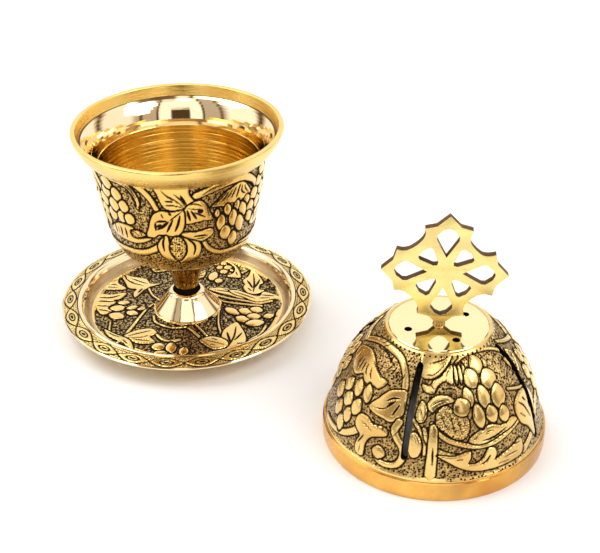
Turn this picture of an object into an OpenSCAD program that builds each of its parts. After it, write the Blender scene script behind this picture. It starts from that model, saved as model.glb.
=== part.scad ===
// Covered table censer: a stemmed cup fixed to a saucer, and a slotted dome lid
// with a cross finial, set down beside the cup. Millimetres, +Z up.
// The origin is the centre of the saucer's foot ring, on the surface it stands on.

/* [Cup] */
// Height of the cup's lip above the table
cup_h = 85; // [82:1:88]
// Outer radius of the lip
lip_r = 40; // [39:0.5:41]
// Width of the flat on top of the lip
lip_flat = 1.9; // [1.5:0.1:2.2]
// Height of the plain flared band under the lip
band_h = 9; // [8:0.5:10]
// Height of the bowl's underside above the table
bowl_base_z = 31; // [30:0.5:32]
// Thickness of the bowl's floor above its tie rod hole
floor_t = 2; // [1.5:0.5:3]

/* [Stem] */
// Height of the joint between the stem and the foot cone
stem_joint_z = 13.2; // [12.5:0.1:14]
// Radius of the stem's top flange
stem_top_r = 11.2; // [10:0.2:12]
// Radius of the stem's narrowest place
stem_waist_r = 4.4; // [4.2:0.1:5]
// Radius of the foot cone where it meets the saucer
foot_r = 12.9; // [12:0.1:14]
// Radius of the foot cone's shoulder
shoulder_r = 7.6; // [7.2:0.1:8]

/* [Saucer] */
// Outer radius of the saucer
saucer_r = 50; // [49:0.5:52]
// Height of the saucer's ridge above the table
saucer_h = 10.4; // [10:0.1:11]
// Height of the saucer's well floor above the table
well_z = 5; // [4.6:0.1:5.2]
// Radius of the well floor
well_r = 38.6; // [37:0.2:39]
// Width of the engraved border inside the saucer's edge
border_w = 6.4; // [5:0.2:7]
// Depth of the recess inside the foot ring
recess_h = 3; // [2.8:0.1:3.2]

/* [Lid] */
// Distance of the lid's centre to the right of the cup's axis
lid_x = 93; // [93:1:110]
// Distance of the lid's centre in front of the cup's axis
lid_y = 75; // [70:1:90]
// Outer radius of the rim band
lid_r = 39.6; // [39:0.1:41]
// Height of the rim band
lid_band_h = 7.3; // [6.5:0.1:8]
// Height of the vent disc's top face above the rim
dome_h = 45.3; // [44:0.1:47]
// Wall thickness of the dome
dome_t = 1.6; // [1.4:0.1:1.8]
// Radius of the vent disc
disc_r = 17.2; // [16.8:0.1:17.6]
// Width of the slots
slot_w = 2.4; // [2:0.1:3]
// Height of the slots' upper ends above the rim
slot_top = 43; // [40:0.5:43]
// Radius of the vent holes
vent_r = 1.35; // [1:0.05:1.6]

/* [Cross] */
// Distance from the hub to the point of each arm
arm_l = 21; // [20:0.2:22]
// Thickness of the cross plate
plate_t = 2.8; // [2.4:0.1:3.2]
// Turn of the cross plate about the vertical
plate_turn = -3; // [-10:1:10]
// Lean of the cross plate to the right, about its foot
plate_lean = 2.4; // [0:0.2:4]

/* [Fastenings] */
// Radius of the tie rod
rod_r = 2.5; // [2:0.1:2.6]
// Radius of the finial's stud
stud_r = 1.6; // [1.4:0.1:1.8]
// Radial clearance round rods and studs
fit_gap = 0.02; // [0.02:0.01:0.1]

/* [Hidden] */
$fn = 96;

GOLD = [0.86, 0.68, 0.30];
AMBER = [0.78, 0.55, 0.20];
PALE = [0.93, 0.80, 0.50];

// Bowl
wall_top_z = cup_h - band_h;
wall_top_r = lip_r - 6;
belly_z = bowl_base_z + 17;
belly_r = lip_r - 10.8;
sole_z = bowl_base_z + 3.2;
sole_r = 20.5;
boss_r = 12;
bowl_wall = 2.3;
rod_top_z = bowl_base_z + 4;
bowl_floor_z = rod_top_z + floor_t;
charcoal_r = 17;
ledge_z = cup_h - 4.1;
throat_z = cup_h - 14;

// Fastenings under the saucer
washer_t = 0.8;
nut_t = 1.7;
nut_af = 8;
rod_low_z = 0.4;

// Lid, in its own frame with the rim on z = 0
skirt_r = lid_r - 1.8;
skirt_low = 0.8;
crown_r = disc_r + 1;
disc_t = 1.4;
disc_seat = 2.7;
// Turn and lower end of each hand-sawn slot
SLOTS = [[-111, 14], [-27, 9.5], [66, 12], [159, 12]];
// Turn of each vent hole
VENTS = [-163, -64, 30, 112];
vent_pitch_r = 11.2;

// Cross, with its hub on the origin
horn_r = arm_l * 0.9;
horn_turn = 25.5;
hub_w = arm_l * 1.44;
scallop_r = arm_l * 0.36;
// Distance from the hub to the hand-filed scallop in each quarter
SCALLOPS = [14.8, 12.9, 14.4, 13];
collar_r = 2.2;
collar_h = 1.4;
finial_washer_t = 0.7;
finial_nut_t = 2.4;
finial_nut_af = 5.5;
stud_l = 5;

// Points along a cubic curve from a to d, steered by b and c
function curve(a, b, c, d, steps = 10) = [
    for (i = [0:steps])
        let (t = i / steps, u = 1 - t)
        u * u * u * a + 3 * u * u * t * b + 3 * u * t * t * c + t * t * t * d
];

// Outline of the bowl's outside, from the lip down to the boss
function bowl_outside() = concat(
    [[lip_r - 0.2, cup_h]],
    curve([lip_r, cup_h - 0.4], [lip_r - 0.4, cup_h - 3.4],
          [wall_top_r + 3, wall_top_z + 1.6], [wall_top_r + 0.6, wall_top_z]),
    curve([wall_top_r, wall_top_z - 0.4], [wall_top_r - 1.2, wall_top_z - 10],
          [belly_r + 1.4, belly_z + 8], [belly_r, belly_z]),
    curve([belly_r - 0.02, belly_z - 0.2], [belly_r - 0.6, belly_z - 5],
          [belly_r - 2.7, sole_z + 1.8], [sole_r, sole_z]),
    [[boss_r, bowl_base_z]]
);

// Outline of the bowl's inside, from the floor up to the lip
function bowl_inside() = concat(
    [[charcoal_r, bowl_floor_z]],
    curve([charcoal_r + 2, bowl_floor_z + 0.3], [belly_r - 5.5, bowl_floor_z + 1.2],
          [belly_r - bowl_wall - 0.8, belly_z - 6], [belly_r - bowl_wall, belly_z]),
    curve([belly_r - bowl_wall + 0.05, belly_z + 0.5], [belly_r - bowl_wall + 1.4, belly_z + 8],
          [wall_top_r - 3.8, throat_z - 8], [wall_top_r - 3, throat_z]),
    curve([wall_top_r - 2.8, throat_z + 0.8], [wall_top_r - 2, throat_z + 4],
          [wall_top_r - 0.6, ledge_z - 2.6], [lip_r - 3.6, ledge_z]),
    [[lip_r - 3, ledge_z], [lip_r - lip_flat, cup_h]]
);

module tube(outer, inner, height) {
    difference() {
        cylinder(r = outer, h = height);
        translate([0, 0, -1])
            cylinder(r = inner, h = height + 2);
    }
}

module hex_nut(across, bore, height) {
    difference() {
        cylinder(r = across / 2 / cos(30), h = height, $fn = 6);
        translate([0, 0, -1])
            cylinder(r = bore, h = height + 2);
    }
}

module bowl() {
    color(GOLD)
        difference() {
            rotate_extrude()
                polygon(concat(
                    [[0, bowl_floor_z]], bowl_inside(), bowl_outside(), [[0, bowl_base_z]]));
            translate([0, 0, bowl_base_z - 1])
                cylinder(r = rod_r + fit_gap, h = rod_top_z - bowl_base_z + 1);
        }
}

module stem() {
    waist_z = stem_joint_z + 1.6;
    color(AMBER)
        difference() {
            rotate_extrude()
                polygon(concat(
                    [[0, stem_joint_z], [stem_waist_r + 0.3, stem_joint_z]],
                    curve([stem_waist_r, waist_z], [stem_waist_r, waist_z + 3],
                          [stem_waist_r + 2.4, waist_z + 6.6],
                          [stem_top_r - 2, bowl_base_z - 4]),
                    [[stem_top_r, bowl_base_z], [0, bowl_base_z]]));
            translate([0, 0, stem_joint_z - 1])
                cylinder(r = rod_r + fit_gap, h = bowl_base_z);
        }
}

module foot_cone() {
    color(PALE)
        difference() {
            rotate_extrude()
                polygon(concat(
                    [[0, well_z], [foot_r, well_z]],
                    curve([foot_r - 0.1, well_z + 0.5], [foot_r - 1.6, well_z + 2.2],
                          [shoulder_r + 1.2, stem_joint_z - 3.8],
                          [shoulder_r - 0.1, stem_joint_z - 2.2], 6),
                    curve([shoulder_r, stem_joint_z - 1.4], [shoulder_r + 0.2, stem_joint_z - 0.6],
                          [shoulder_r - 0.1, stem_joint_z],
                          [shoulder_r - 0.8, stem_joint_z], 5),
                    [[0, stem_joint_z]]));
            translate([0, 0, well_z - 1])
                cylinder(r = rod_r + fit_gap, h = stem_joint_z);
        }
}

module saucer() {
    ring_in = 24;
    ring_out = 27.5;
    ridge_r = saucer_r - border_w - 0.4;
    color(GOLD)
        difference() {
            rotate_extrude()
                polygon(concat(
                    [[0, recess_h], [ring_in, recess_h], [ring_in, 0], [ring_out, 0],
                     [ring_out + 1, recess_h - 0.2]],
                    curve([well_r - 0.6, recess_h + 0.2], [well_r + 3, recess_h + 1.2],
                          [saucer_r - 5, saucer_h - 3.6], [saucer_r - 0.6, saucer_h - 2.6], 6),
                    [[saucer_r, saucer_h - 2.1], [saucer_r, saucer_h - 1.6],
                     [saucer_r - 0.4, saucer_h - 1.3], [saucer_r - border_w, saucer_h - 0.2]],
                    curve([ridge_r, saucer_h], [ridge_r - 1.2, saucer_h],
                          [well_r + 2, well_z + 2.4], [well_r + 1, well_z + 0.9], 8),
                    [[well_r, well_z], [0, well_z]]));
            translate([0, 0, recess_h - 1])
                cylinder(r = rod_r + fit_gap, h = well_z);
        }
}

module tie_rod() {
    color(PALE)
        translate([0, 0, rod_low_z])
            cylinder(r = rod_r, h = rod_top_z - 0.4 - rod_low_z);
}

module base_washer() {
    color(PALE)
        translate([0, 0, recess_h - washer_t])
            tube(rod_r + 4, rod_r + 0.2, washer_t);
}

module base_nut() {
    color(AMBER)
        translate([0, 0, recess_h - washer_t - nut_t])
            hex_nut(nut_af, rod_r + fit_gap, nut_t);
}

// Places its children where the lid stands
module at_lid() {
    translate([lid_x, -lid_y, 0])
        children();
}

// Outline of the dome's outside, from the rim band up to the crown
function dome_outside() = curve(
    [lid_r - 0.8, lid_band_h], [lid_r - 4.4, lid_band_h + 17.7],
    [crown_r + 12.3, dome_h - 8.8], [crown_r, dome_h - 0.1], 16);

// Outline of the dome's inside, from the crown down to the skirt
function dome_inside() = curve(
    [crown_r - 1.7, dome_h - disc_seat], [crown_r + 10.6, dome_h - 10.3],
    [skirt_r - dome_t - 2.8, lid_band_h + 17], [skirt_r - dome_t, lid_band_h], 16);

module slot_cut(turn, low) {
    height = slot_top - low;
    rotate([0, 0, turn])
        translate([disc_r, -slot_w / 2, low])
            cube([lid_r, slot_w, height]);
}

module dome() {
    color(GOLD)
        at_lid()
            difference() {
                rotate_extrude()
                    polygon(concat(
                        [[skirt_r - dome_t, skirt_low], [skirt_r - fit_gap, skirt_low],
                         [skirt_r - fit_gap, lid_band_h]],
                        dome_outside(),
                        [[disc_r + fit_gap, dome_h - 0.1], [disc_r + fit_gap, dome_h - disc_t],
                         [disc_r - 2, dome_h - disc_t], [disc_r - 2, dome_h - disc_seat]],
                        dome_inside()));
                for (slot = SLOTS)
                    slot_cut(slot[0], slot[1]);
            }
}

module lid_rim() {
    color(AMBER)
        at_lid()
            rotate_extrude()
                polygon(concat(
                    [[skirt_r, 0], [lid_r - 0.4, 0]],
                    curve([lid_r - 0.1, 0.4], [lid_r, 2], [lid_r, 4],
                          [lid_r - 0.15, lid_band_h - 0.3], 5),
                    [[lid_r - 0.5, lid_band_h], [skirt_r, lid_band_h]]));
}

module vent_disc() {
    color(PALE)
        at_lid()
            translate([0, 0, dome_h - disc_t])
                difference() {
                    cylinder(r = disc_r, h = disc_t);
                    translate([0, 0, -1])
                        cylinder(r = stud_r + fit_gap, h = disc_t + 2);
                    for (turn = VENTS)
                        rotate([0, 0, turn])
                            translate([vent_pitch_r, 0, -1])
                                cylinder(r = vent_r, h = disc_t + 2, $fn = 32);
                }
}

// One quarter of the cross: the arm that points along +Y
module arm_outline() {
    horn_x = horn_r * sin(horn_turn);
    horn_y = horn_r * cos(horn_turn);
    polygon([[0, 0], [-horn_x, horn_y], [-horn_x * 0.42, horn_y + 0.7], [0, arm_l],
             [horn_x * 0.42, horn_y + 0.7], [horn_x, horn_y]]);
}

// Kite-shaped window along +Y
module long_window() {
    polygon([[0, 6.6], [1.7, 9.3], [3.3, 12.6], [3.3, 14.3], [1.7, 16.3], [0, 17.1],
             [-1.7, 16.3], [-3.3, 14.3], [-3.3, 12.6], [-1.7, 9.3]]);
}

// Petal window between two arms, along +Y
module short_window() {
    polygon([[0, 4.6], [1, 5.2], [2.7, 9.5], [2.5, 10.3], [0, 11],
             [-2.5, 10.3], [-2.7, 9.5], [-1, 5.2]]);
}

module cross_outline() {
    difference() {
        union() {
            for (quarter = [0:3])
                rotate(quarter * 90)
                    arm_outline();
            rotate(45)
                square(hub_w, center = true);
        }
        for (quarter = [0:3])
            rotate(quarter * 90 - 45)
                translate([0, SCALLOPS[quarter] + scallop_r])
                    circle(r = scallop_r, $fn = 64);
        for (quarter = [0:3])
            rotate(quarter * 90)
                long_window();
        for (quarter = [0:3])
            rotate(quarter * 90 + 45)
                short_window();
    }
}

module cross_finial() {
    color(PALE)
        at_lid()
            union() {
                translate([0, 0, dome_h + 0.1])
                    rotate([90, 0, plate_turn])
                        linear_extrude(height = plate_t, center = true)
                            rotate(-plate_lean)
                                translate([0, arm_l])
                                    cross_outline();
                translate([0, 0, dome_h])
                    cylinder(r1 = collar_r, r2 = collar_r - 0.6, h = collar_h, $fn = 48);
                translate([0, 0, dome_h - stud_l])
                    cylinder(r = stud_r, h = stud_l + 1);
            }
}

module finial_washer() {
    color(PALE)
        at_lid()
            translate([0, 0, dome_h - disc_t - finial_washer_t])
                tube(stud_r + 1.9, stud_r + 0.1, finial_washer_t);
}

module finial_nut() {
    color(AMBER)
        at_lid()
            translate([0, 0, dome_h - disc_t - finial_washer_t - finial_nut_t])
                hex_nut(finial_nut_af, stud_r + fit_gap, finial_nut_t);
}

bowl();
stem();
foot_cone();
saucer();
tie_rod();
base_washer();
base_nut();
dome();
lid_rim();
vent_disc();
cross_finial();
finial_washer();
finial_nut();
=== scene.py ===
import math

import bmesh
import bpy
import numpy as np
from mathutils import Matrix, Vector


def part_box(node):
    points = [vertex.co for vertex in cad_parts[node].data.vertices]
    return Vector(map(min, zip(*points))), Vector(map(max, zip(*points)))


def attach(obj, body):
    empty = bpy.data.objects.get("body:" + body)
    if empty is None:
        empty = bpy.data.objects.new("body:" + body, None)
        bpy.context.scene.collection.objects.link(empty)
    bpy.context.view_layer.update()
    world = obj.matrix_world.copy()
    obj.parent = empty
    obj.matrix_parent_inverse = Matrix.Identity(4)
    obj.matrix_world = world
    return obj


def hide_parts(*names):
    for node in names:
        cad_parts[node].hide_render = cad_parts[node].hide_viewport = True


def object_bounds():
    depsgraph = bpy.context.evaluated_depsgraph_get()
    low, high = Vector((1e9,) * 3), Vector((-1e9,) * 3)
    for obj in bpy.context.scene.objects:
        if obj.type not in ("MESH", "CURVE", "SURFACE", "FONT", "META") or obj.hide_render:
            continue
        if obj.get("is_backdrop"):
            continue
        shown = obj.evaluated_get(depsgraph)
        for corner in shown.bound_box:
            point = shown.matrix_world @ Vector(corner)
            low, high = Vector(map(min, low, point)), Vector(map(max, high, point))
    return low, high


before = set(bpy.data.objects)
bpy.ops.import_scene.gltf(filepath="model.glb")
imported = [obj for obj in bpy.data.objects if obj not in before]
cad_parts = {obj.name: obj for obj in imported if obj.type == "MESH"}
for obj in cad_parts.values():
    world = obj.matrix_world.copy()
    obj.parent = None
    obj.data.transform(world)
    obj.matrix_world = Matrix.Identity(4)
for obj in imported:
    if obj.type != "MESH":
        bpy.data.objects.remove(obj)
CAD_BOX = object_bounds()

# Sizes below are millimetres, as in the part's source; meshes are made in metres.
MM = 0.001


def node_box(name):
    """Lowest and highest corner of a CAD node, in millimetres."""
    low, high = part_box(name)
    return [v / MM for v in low], [v / MM for v in high]


BOWL_LOW, BOWL_HIGH = node_box("bowl")
STEM_LOW, STEM_HIGH = node_box("stem")
FOOT_LOW, FOOT_HIGH = node_box("foot_cone")
SAUCER_HIGH = node_box("saucer")[1]
RIM_LOW, RIM_HIGH = node_box("lid_rim")
DISC_LOW, DISC_HIGH = node_box("vent_disc")

CUP_H = BOWL_HIGH[2]
LIP_R = BOWL_HIGH[0]
BOWL_Z = BOWL_LOW[2]
STEM_Z = STEM_LOW[2]
STEM_TOP_R = STEM_HIGH[0]
FOOT_R = FOOT_HIGH[0]
SAUCER_R = SAUCER_HIGH[0]
SAUCER_H = SAUCER_HIGH[2]
WELL_Z = FOOT_LOW[2]
LID_X = (RIM_LOW[0] + RIM_HIGH[0]) / 2
LID_Y = (RIM_LOW[1] + RIM_HIGH[1]) / 2
LID_R = (RIM_HIGH[0] - RIM_LOW[0]) / 2
BAND_H = RIM_HIGH[2]
DISC_R = (DISC_HIGH[0] - DISC_LOW[0]) / 2
DOME_H = DISC_HIGH[2]
CROWN_R = DISC_R + 1
LID_PLACE = (LID_X, LID_Y, 0)

# Points of a cut mesh closer than this, in metres, become one point.
SLIVER = 0.00001

# ---------------------------------------------------------------- outlines


# Rows where the outline bends more than this get a sharp edge.
CREASE = math.radians(24)


def bezier(a, b, c, d, steps=16):
    """Points along a cubic curve from a to d."""
    t = np.linspace(0, 1, steps + 1)[:, None]
    u = 1 - t
    a, b, c, d = (np.array(p, float) for p in (a, b, c, d))
    return u**3 * a + 3 * u * u * t * b + 3 * u * t * t * c + t**3 * d


def respace(points, step):
    """The same line with its points about one step apart."""
    points = np.array(points, float)
    lengths = np.hypot(*np.diff(points, axis=0).T)
    along = np.concatenate([[0], np.cumsum(lengths)])
    count = max(1, int(round(along[-1] / step)))
    at = np.linspace(0, along[-1], count + 1)
    return np.column_stack([np.interp(at, along, points[:, i]) for i in (0, 1)])


class Outline:
    """A lathe outline made of stretches, each with its own material number and row spacing."""

    def __init__(self, r, z):
        self.points = np.array([(r, z)], float)
        self.kind = []

    def add(self, kind, step, points):
        """Goes on along points, the first of which is the last point so far."""
        rows = respace(points, step)[1:]
        self.points = np.vstack([self.points, rows])
        self.kind += [kind] * (len(rows) if self.kind else len(rows) + 1)

    def line(self, kind, step, *corners):
        self.add(kind, step, [self.points[-1], *corners])

    def curve(self, kind, step, b, c, d, steps=16):
        self.add(kind, step, bezier(self.points[-1], b, c, d, steps))

    def finish(self):
        """Radius, height, outward normal, sharpness and material number of every row."""
        r, z = self.points.T
        steps = np.diff(self.points, axis=0)
        turn = np.unwrap(np.arctan2(steps[:, 1], steps[:, 0]))
        bend = np.abs(np.diff(turn))
        sharp = np.concatenate([[True], bend > CREASE, [True]])
        ahead = np.vstack([steps, steps[-1:]])
        behind = np.vstack([steps[:1], steps])
        tangent = ahead / np.hypot(*ahead.T)[:, None] + behind / np.hypot(*behind.T)[:, None]
        tangent /= np.hypot(*tangent.T)[:, None] + 1e-9
        normal = np.column_stack([tangent[:, 1], -tangent[:, 0]])
        return r, z, normal, sharp, np.array(self.kind)


# ---------------------------------------------------------------- meshes

TINY = 1e-6
# Stands for far inside (or, below zero, far outside) any engraved shape.
FAR = 9.0


def add_object(name, data, place=(0, 0, 0)):
    """A new object at a place in millimetres."""
    made = bpy.data.objects.new(name, data)
    bpy.context.scene.collection.objects.link(made)
    made.location = Vector(place) * MM
    return made


def final_mesh(piece):
    """The mesh of an object with its modifiers applied."""
    bpy.context.view_layer.update()
    return bpy.data.meshes.new_from_object(piece.evaluated_get(bpy.context.evaluated_depsgraph_get()))


def add_boolean(piece, operation, other, material_mode):
    step = piece.modifiers.new("boolean", "BOOLEAN")
    step.operation = operation
    step.solver = "EXACT"
    step.material_mode = material_mode
    step.object = other


def set_attribute(mesh, name, values):
    attribute = mesh.attributes.new(name, "FLOAT", "POINT")
    attribute.data.foreach_set("value", values.astype(np.float32))


def mark_creases(mesh, ring, sharp):
    """Sharp edges along the rows where the outline bends; ring is each point's row."""
    ends = np.zeros(len(mesh.edges) * 2, int)
    mesh.edges.foreach_get("vertices", ends)
    a, b = ring[ends.reshape(-1, 2).T]
    mesh.attributes.new("sharp_edge", "BOOLEAN", "EDGE").data.foreach_set("value", (a == b) & sharp[a])


def lathe_quads(index, kind, closed):
    """Faces between neighbouring rows, and the material number of each."""
    across = np.roll(index, -1, 1)
    if closed:
        corners = (index, across, np.roll(across, -1, 0), np.roll(index, -1, 0))
        kind = np.roll(kind, -1)
    else:
        corners = (index[:-1], across[:-1], across[1:], index[1:])
        kind = kind[1:]
    return np.stack(corners, -1).reshape(-1, 4), np.repeat(kind, index.shape[1])


def turned_grid(r, z, normal, columns, relief):
    """The points of all rows, in millimetres, with the relief's height, and their line and face values."""
    angle = np.arange(columns) * 2 * math.pi / columns
    rr = np.repeat(r[:, None], columns, 1)
    zz = np.repeat(z[:, None], columns, 1)
    line = np.full(rr.shape, -FAR)
    face = np.full(rr.shape, FAR)
    for first, last, field in relief:
        height, line[first:last], face[first:last] = field(angle, r[first:last], z[first:last])
        rr[first:last] += normal[first:last, 0:1] * height
        zz[first:last] += normal[first:last, 1:2] * height
    xyz = np.stack([rr * np.cos(angle), rr * np.sin(angle), zz], -1).reshape(-1, 3)
    return xyz, line.reshape(-1), face.reshape(-1)


def lathe(name, outline, columns, materials, relief=(), place=(0, 0, 0), closed=False):
    """Turns an outline in millimetres about the vertical axis.

    relief lists (first row, last row, field); field(angle, r, z) gives the height, line and face there.
    """
    r, z, normal, sharp, kind = outline.finish()
    if closed and math.dist((r[0], z[0]), (r[-1], z[-1])) < TINY:
        kind[0] = kind[-1]
        r, z, normal, sharp, kind = r[:-1], z[:-1], normal[:-1], sharp[:-1], kind[:-1]
    xyz, line, face = turned_grid(r, z, normal, columns, relief)
    index = np.arange(len(xyz)).reshape(-1, columns)
    for row in (0, -1):
        if r[row] < TINY:
            index[row] = index[row, 0]
    quads, face_kind = lathe_quads(index, kind, closed)
    used = np.unique(quads)
    order = np.full(len(xyz), -1)
    order[used] = np.arange(len(used))
    mesh = bpy.data.meshes.new(name)
    # A quad that meets the axis has a repeated corner, and becomes a triangle.
    faces = [tuple(dict.fromkeys(q)) for q in order[quads].tolist()]
    mesh.from_pydata((xyz[used] * MM).tolist(), [], faces)
    for material in materials:
        mesh.materials.append(material)
    mesh.polygons.foreach_set("material_index", face_kind)
    mesh.update()
    set_attribute(mesh, "line", line[used])
    set_attribute(mesh, "face", face[used])
    mark_creases(mesh, used // columns, sharp)
    return add_object(name, mesh, place)


def rows_of(outline, kind):
    """First row with a material number, and the row after the last one with it."""
    hits = np.nonzero(np.array(outline.kind) == kind)[0]
    return hits[0], hits[-1] + 1


# ---------------------------------------------------------------- engraving

# Depth of the ground below the leaves, depth of a full cut, and width of the cut round a shape.
GROUND = 0.34
GROOVE = 0.3
OUTLINE_W = 0.7
# Spacing and size of the punched dots.
DOT_PITCH = 0.95
DOT_R = 0.31
# Grapes are drawn this much larger than listed, with a contour between an ellipse and a rhombus.
GRAPE_GROWTH = 1.08
GRAPE_POWER = 1.65


def smooth(points, closed=False, steps=4):
    """A smooth line through given points."""
    p = np.array(points, float)
    if closed:
        p = np.vstack([p[-1], p, p[0], p[1]])
    else:
        p = np.vstack([2 * p[0] - p[1], p, 2 * p[-1] - p[-2]])
    out = []
    for a, b, c, d in zip(p, p[1:], p[2:], p[3:]):
        for t in np.arange(steps) / steps:
            out.append(0.5 * (2 * b + (c - a) * t + (2 * a - 5 * b + 4 * c - d) * t * t
                              + (3 * b - a - 3 * c + d) * t**3))
    if not closed:
        out.append(p[-2])
    return np.array(out)


def ramp(x, low, high):
    """A smooth step from 0 at low to 1 at high."""
    t = np.clip((x - low) / (high - low), 0, 1)
    return t * t * (3 - 2 * t)


def stroke_distance(x, y, points, widths):
    """Distance inside a line of varying half width."""
    best = np.full(x.shape, -FAR)
    for (ax, ay), (bx, by), wa, wb in zip(points, points[1:], widths, widths[1:]):
        dx, dy = bx - ax, by - ay
        length2 = dx * dx + dy * dy + 1e-9
        t = np.clip(((x - ax) * dx + (y - ay) * dy) / length2, 0, 1)
        gap = np.hypot(x - ax - t * dx, y - ay - t * dy)
        best = np.maximum(best, wa + (wb - wa) * t - gap)
    return best


def shape_distance(x, y, points):
    """Distance inside a closed outline."""
    gap = np.full(x.shape, 99.0)
    inside = np.zeros(x.shape, bool)
    for (ax, ay), (bx, by) in zip(points, np.roll(points, -1, 0)):
        dx, dy = bx - ax, by - ay
        t = np.clip(((x - ax) * dx + (y - ay) * dy) / (dx * dx + dy * dy + 1e-9), 0, 1)
        gap = np.minimum(gap, np.hypot(x - ax - t * dx, y - ay - t * dy))
        crossing = (ay > y) != (by > y)
        inside ^= crossing & (x < dx * (y - ay) / (dy + 1e-12) + ax)
    return np.where(inside, gap, -gap)


class Engraving:
    """What is cut into one surface, as distances in millimetres over flat coordinates."""

    def __init__(self, x, y, period=None):
        self.x = x
        self.y = y
        self.period = period
        self.face = np.full(x.shape, -FAR)
        self.line = np.full(x.shape, -FAR)
        self.crown = np.zeros(x.shape)
        self.punched = np.zeros(x.shape, bool)

    def windows(self, points, reach):
        """The parts of the surface near some points, once for each repeat round the axis."""
        low = np.min(points, 0) - reach
        high = np.max(points, 0) + reach
        shifts = [0.0]
        if self.period:
            count = int(round((self.x.max() - self.x.min()) / self.period)) + 1
            shifts = [k * self.period for k in range(-count, count + 1)]
        for shift in shifts:
            near = (self.x > low[0] + shift) & (self.x < high[0] + shift)
            near &= (self.y > low[1]) & (self.y < high[1])
            at = np.nonzero(near)
            if len(at[0]):
                yield at, self.x[at] - shift, self.y[at]

    def stamp(self, at, inside, half, crown, dots=False):
        """Raises a shape over what is there, with a groove round it."""
        rim = OUTLINE_W / 2 - np.abs(inside + OUTLINE_W / 3)
        over = inside > 0
        self.line[at] = np.where(over, rim, np.maximum(self.line[at], rim))
        self.face[at] = np.maximum(self.face[at], inside)
        dome = crown * (1 - (1 - np.clip(inside / half, 0, 1)) ** 2)
        self.crown[at] = np.where(over, dome, self.crown[at])
        self.punched[at] = np.where(over, dots, self.punched[at])

    def band(self, points, start, end, crown=0.16):
        """A stem or scroll whose width runs from start to end."""
        line = smooth(points)
        widths = np.linspace(start / 2, end / 2, len(line))
        for at, x, y in self.windows(line, max(start, end) + 1):
            self.stamp(at, stroke_distance(x, y, line, widths), max(start, end) / 2, crown)

    def plate(self, points, cuts=(), crown=0.12, dots=False):
        """A raised shape with gouged veins."""
        line = smooth(points, closed=True)
        for at, x, y in self.windows(line, 1):
            self.stamp(at, shape_distance(x, y, line), 1.2, crown, dots)
        for cut in cuts:
            self.gouge(*cut)

    def gouge(self, *cut):
        """A tapered cut: its points, then its width."""
        line = smooth(cut[:-1], steps=6) if len(cut) > 3 else respace(cut[:-1], 0.4)
        t = np.linspace(0, 1, len(line))
        widths = cut[-1] / 2 * np.sqrt(np.sin(math.pi * (0.06 + 0.88 * t)))
        for at, x, y in self.windows(line, 1):
            self.line[at] = np.maximum(self.line[at], stroke_distance(x, y, line, widths))

    def berry(self, cx, cy, rx, ry, lean=0, crown=0.34):
        """A grape: a pointed oval, leaning by some degrees."""
        rx, ry = rx * GRAPE_GROWTH, ry * GRAPE_GROWTH
        c, s = math.cos(math.radians(lean)), math.sin(math.radians(lean))
        for at, x, y in self.windows([(cx, cy)], max(rx, ry) + 1):
            u = ((x - cx) * c + (y - cy) * s) / rx
            v = ((y - cy) * c - (x - cx) * s) / ry
            outward = (np.abs(u) ** GRAPE_POWER + np.abs(v) ** GRAPE_POWER) ** (1 / GRAPE_POWER)
            inside = (1 - outward) * min(rx, ry)
            self.stamp(at, inside, min(rx, ry), crown)

    def leaf(self, hub, angle, size):
        """A vine leaf: three blades fanning out from a hub, each with gouged veins."""
        blades = []
        for turn, share in ((0, 1.0), (48, 0.74), (-48, 0.74)):
            a = math.radians(angle + turn)
            ahead = np.array([math.cos(a), math.sin(a)]) * size * share
            aside = np.array([-ahead[1], ahead[0]]) * 0.36
            base = np.array(hub, float)
            blades.append((base, ahead, aside))
        for at, x, y in self.windows([hub], size + 1):
            inside = np.full(x.shape, -FAR)
            for base, ahead, aside in blades:
                line = np.array([base - ahead * 0.06, base + ahead * 0.22 + aside * 0.7,
                                 base + ahead * 0.55 + aside, base + ahead * 0.82 + aside * 0.5,
                                 base + ahead, base + ahead * 0.82 - aside * 0.5,
                                 base + ahead * 0.55 - aside, base + ahead * 0.22 - aside * 0.7])
                inside = np.maximum(inside, shape_distance(x, y, line))
            self.stamp(at, inside, 1.2, 0.12)
        for base, ahead, aside in blades:
            self.gouge(tuple(base + ahead * 0.12), tuple(base + ahead * 0.86), 0.62)
            for side in (-1, 1):
                start = base + ahead * 0.3 + aside * side * 0.12
                end = base + ahead * 0.66 + aside * side * 0.62
                self.gouge(tuple(start), tuple(end), 0.6)

    def punch(self):
        """Punches dots into the ground and into the shapes that ask for them."""
        column = np.floor(self.x / DOT_PITCH)
        row = np.floor(self.y / DOT_PITCH)
        nearest = np.full(self.x.shape, FAR)
        size = np.zeros(self.x.shape)
        wrap = round(self.period / DOT_PITCH) if self.period else 0
        for i in (-1, 0, 1):
            for j in (-1, 0, 1):
                ci, rj = column + i, row + j
                seed = (ci % wrap if wrap else ci) * 12.9898 + rj * 78.233
                ax = (np.sin(seed) * 43758.5453) % 1
                ay = (np.sin(seed + 1.7) * 24634.6345) % 1
                az = (np.sin(seed + 3.1) * 13634.1231) % 1
                dot_x = (ci + 0.15 + 0.7 * ax) * DOT_PITCH
                dot_y = (rj + 0.15 + 0.7 * ay) * DOT_PITCH
                gap = np.hypot(self.x - dot_x, self.y - dot_y)
                closer = gap < nearest
                nearest = np.where(closer, gap, nearest)
                size = np.where(closer, az, size)
        dot = DOT_R * (0.75 + 0.5 * size) - nearest
        where = (self.face < 0) | self.punched
        self.line = np.where(where, np.maximum(self.line, dot), self.line)

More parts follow.
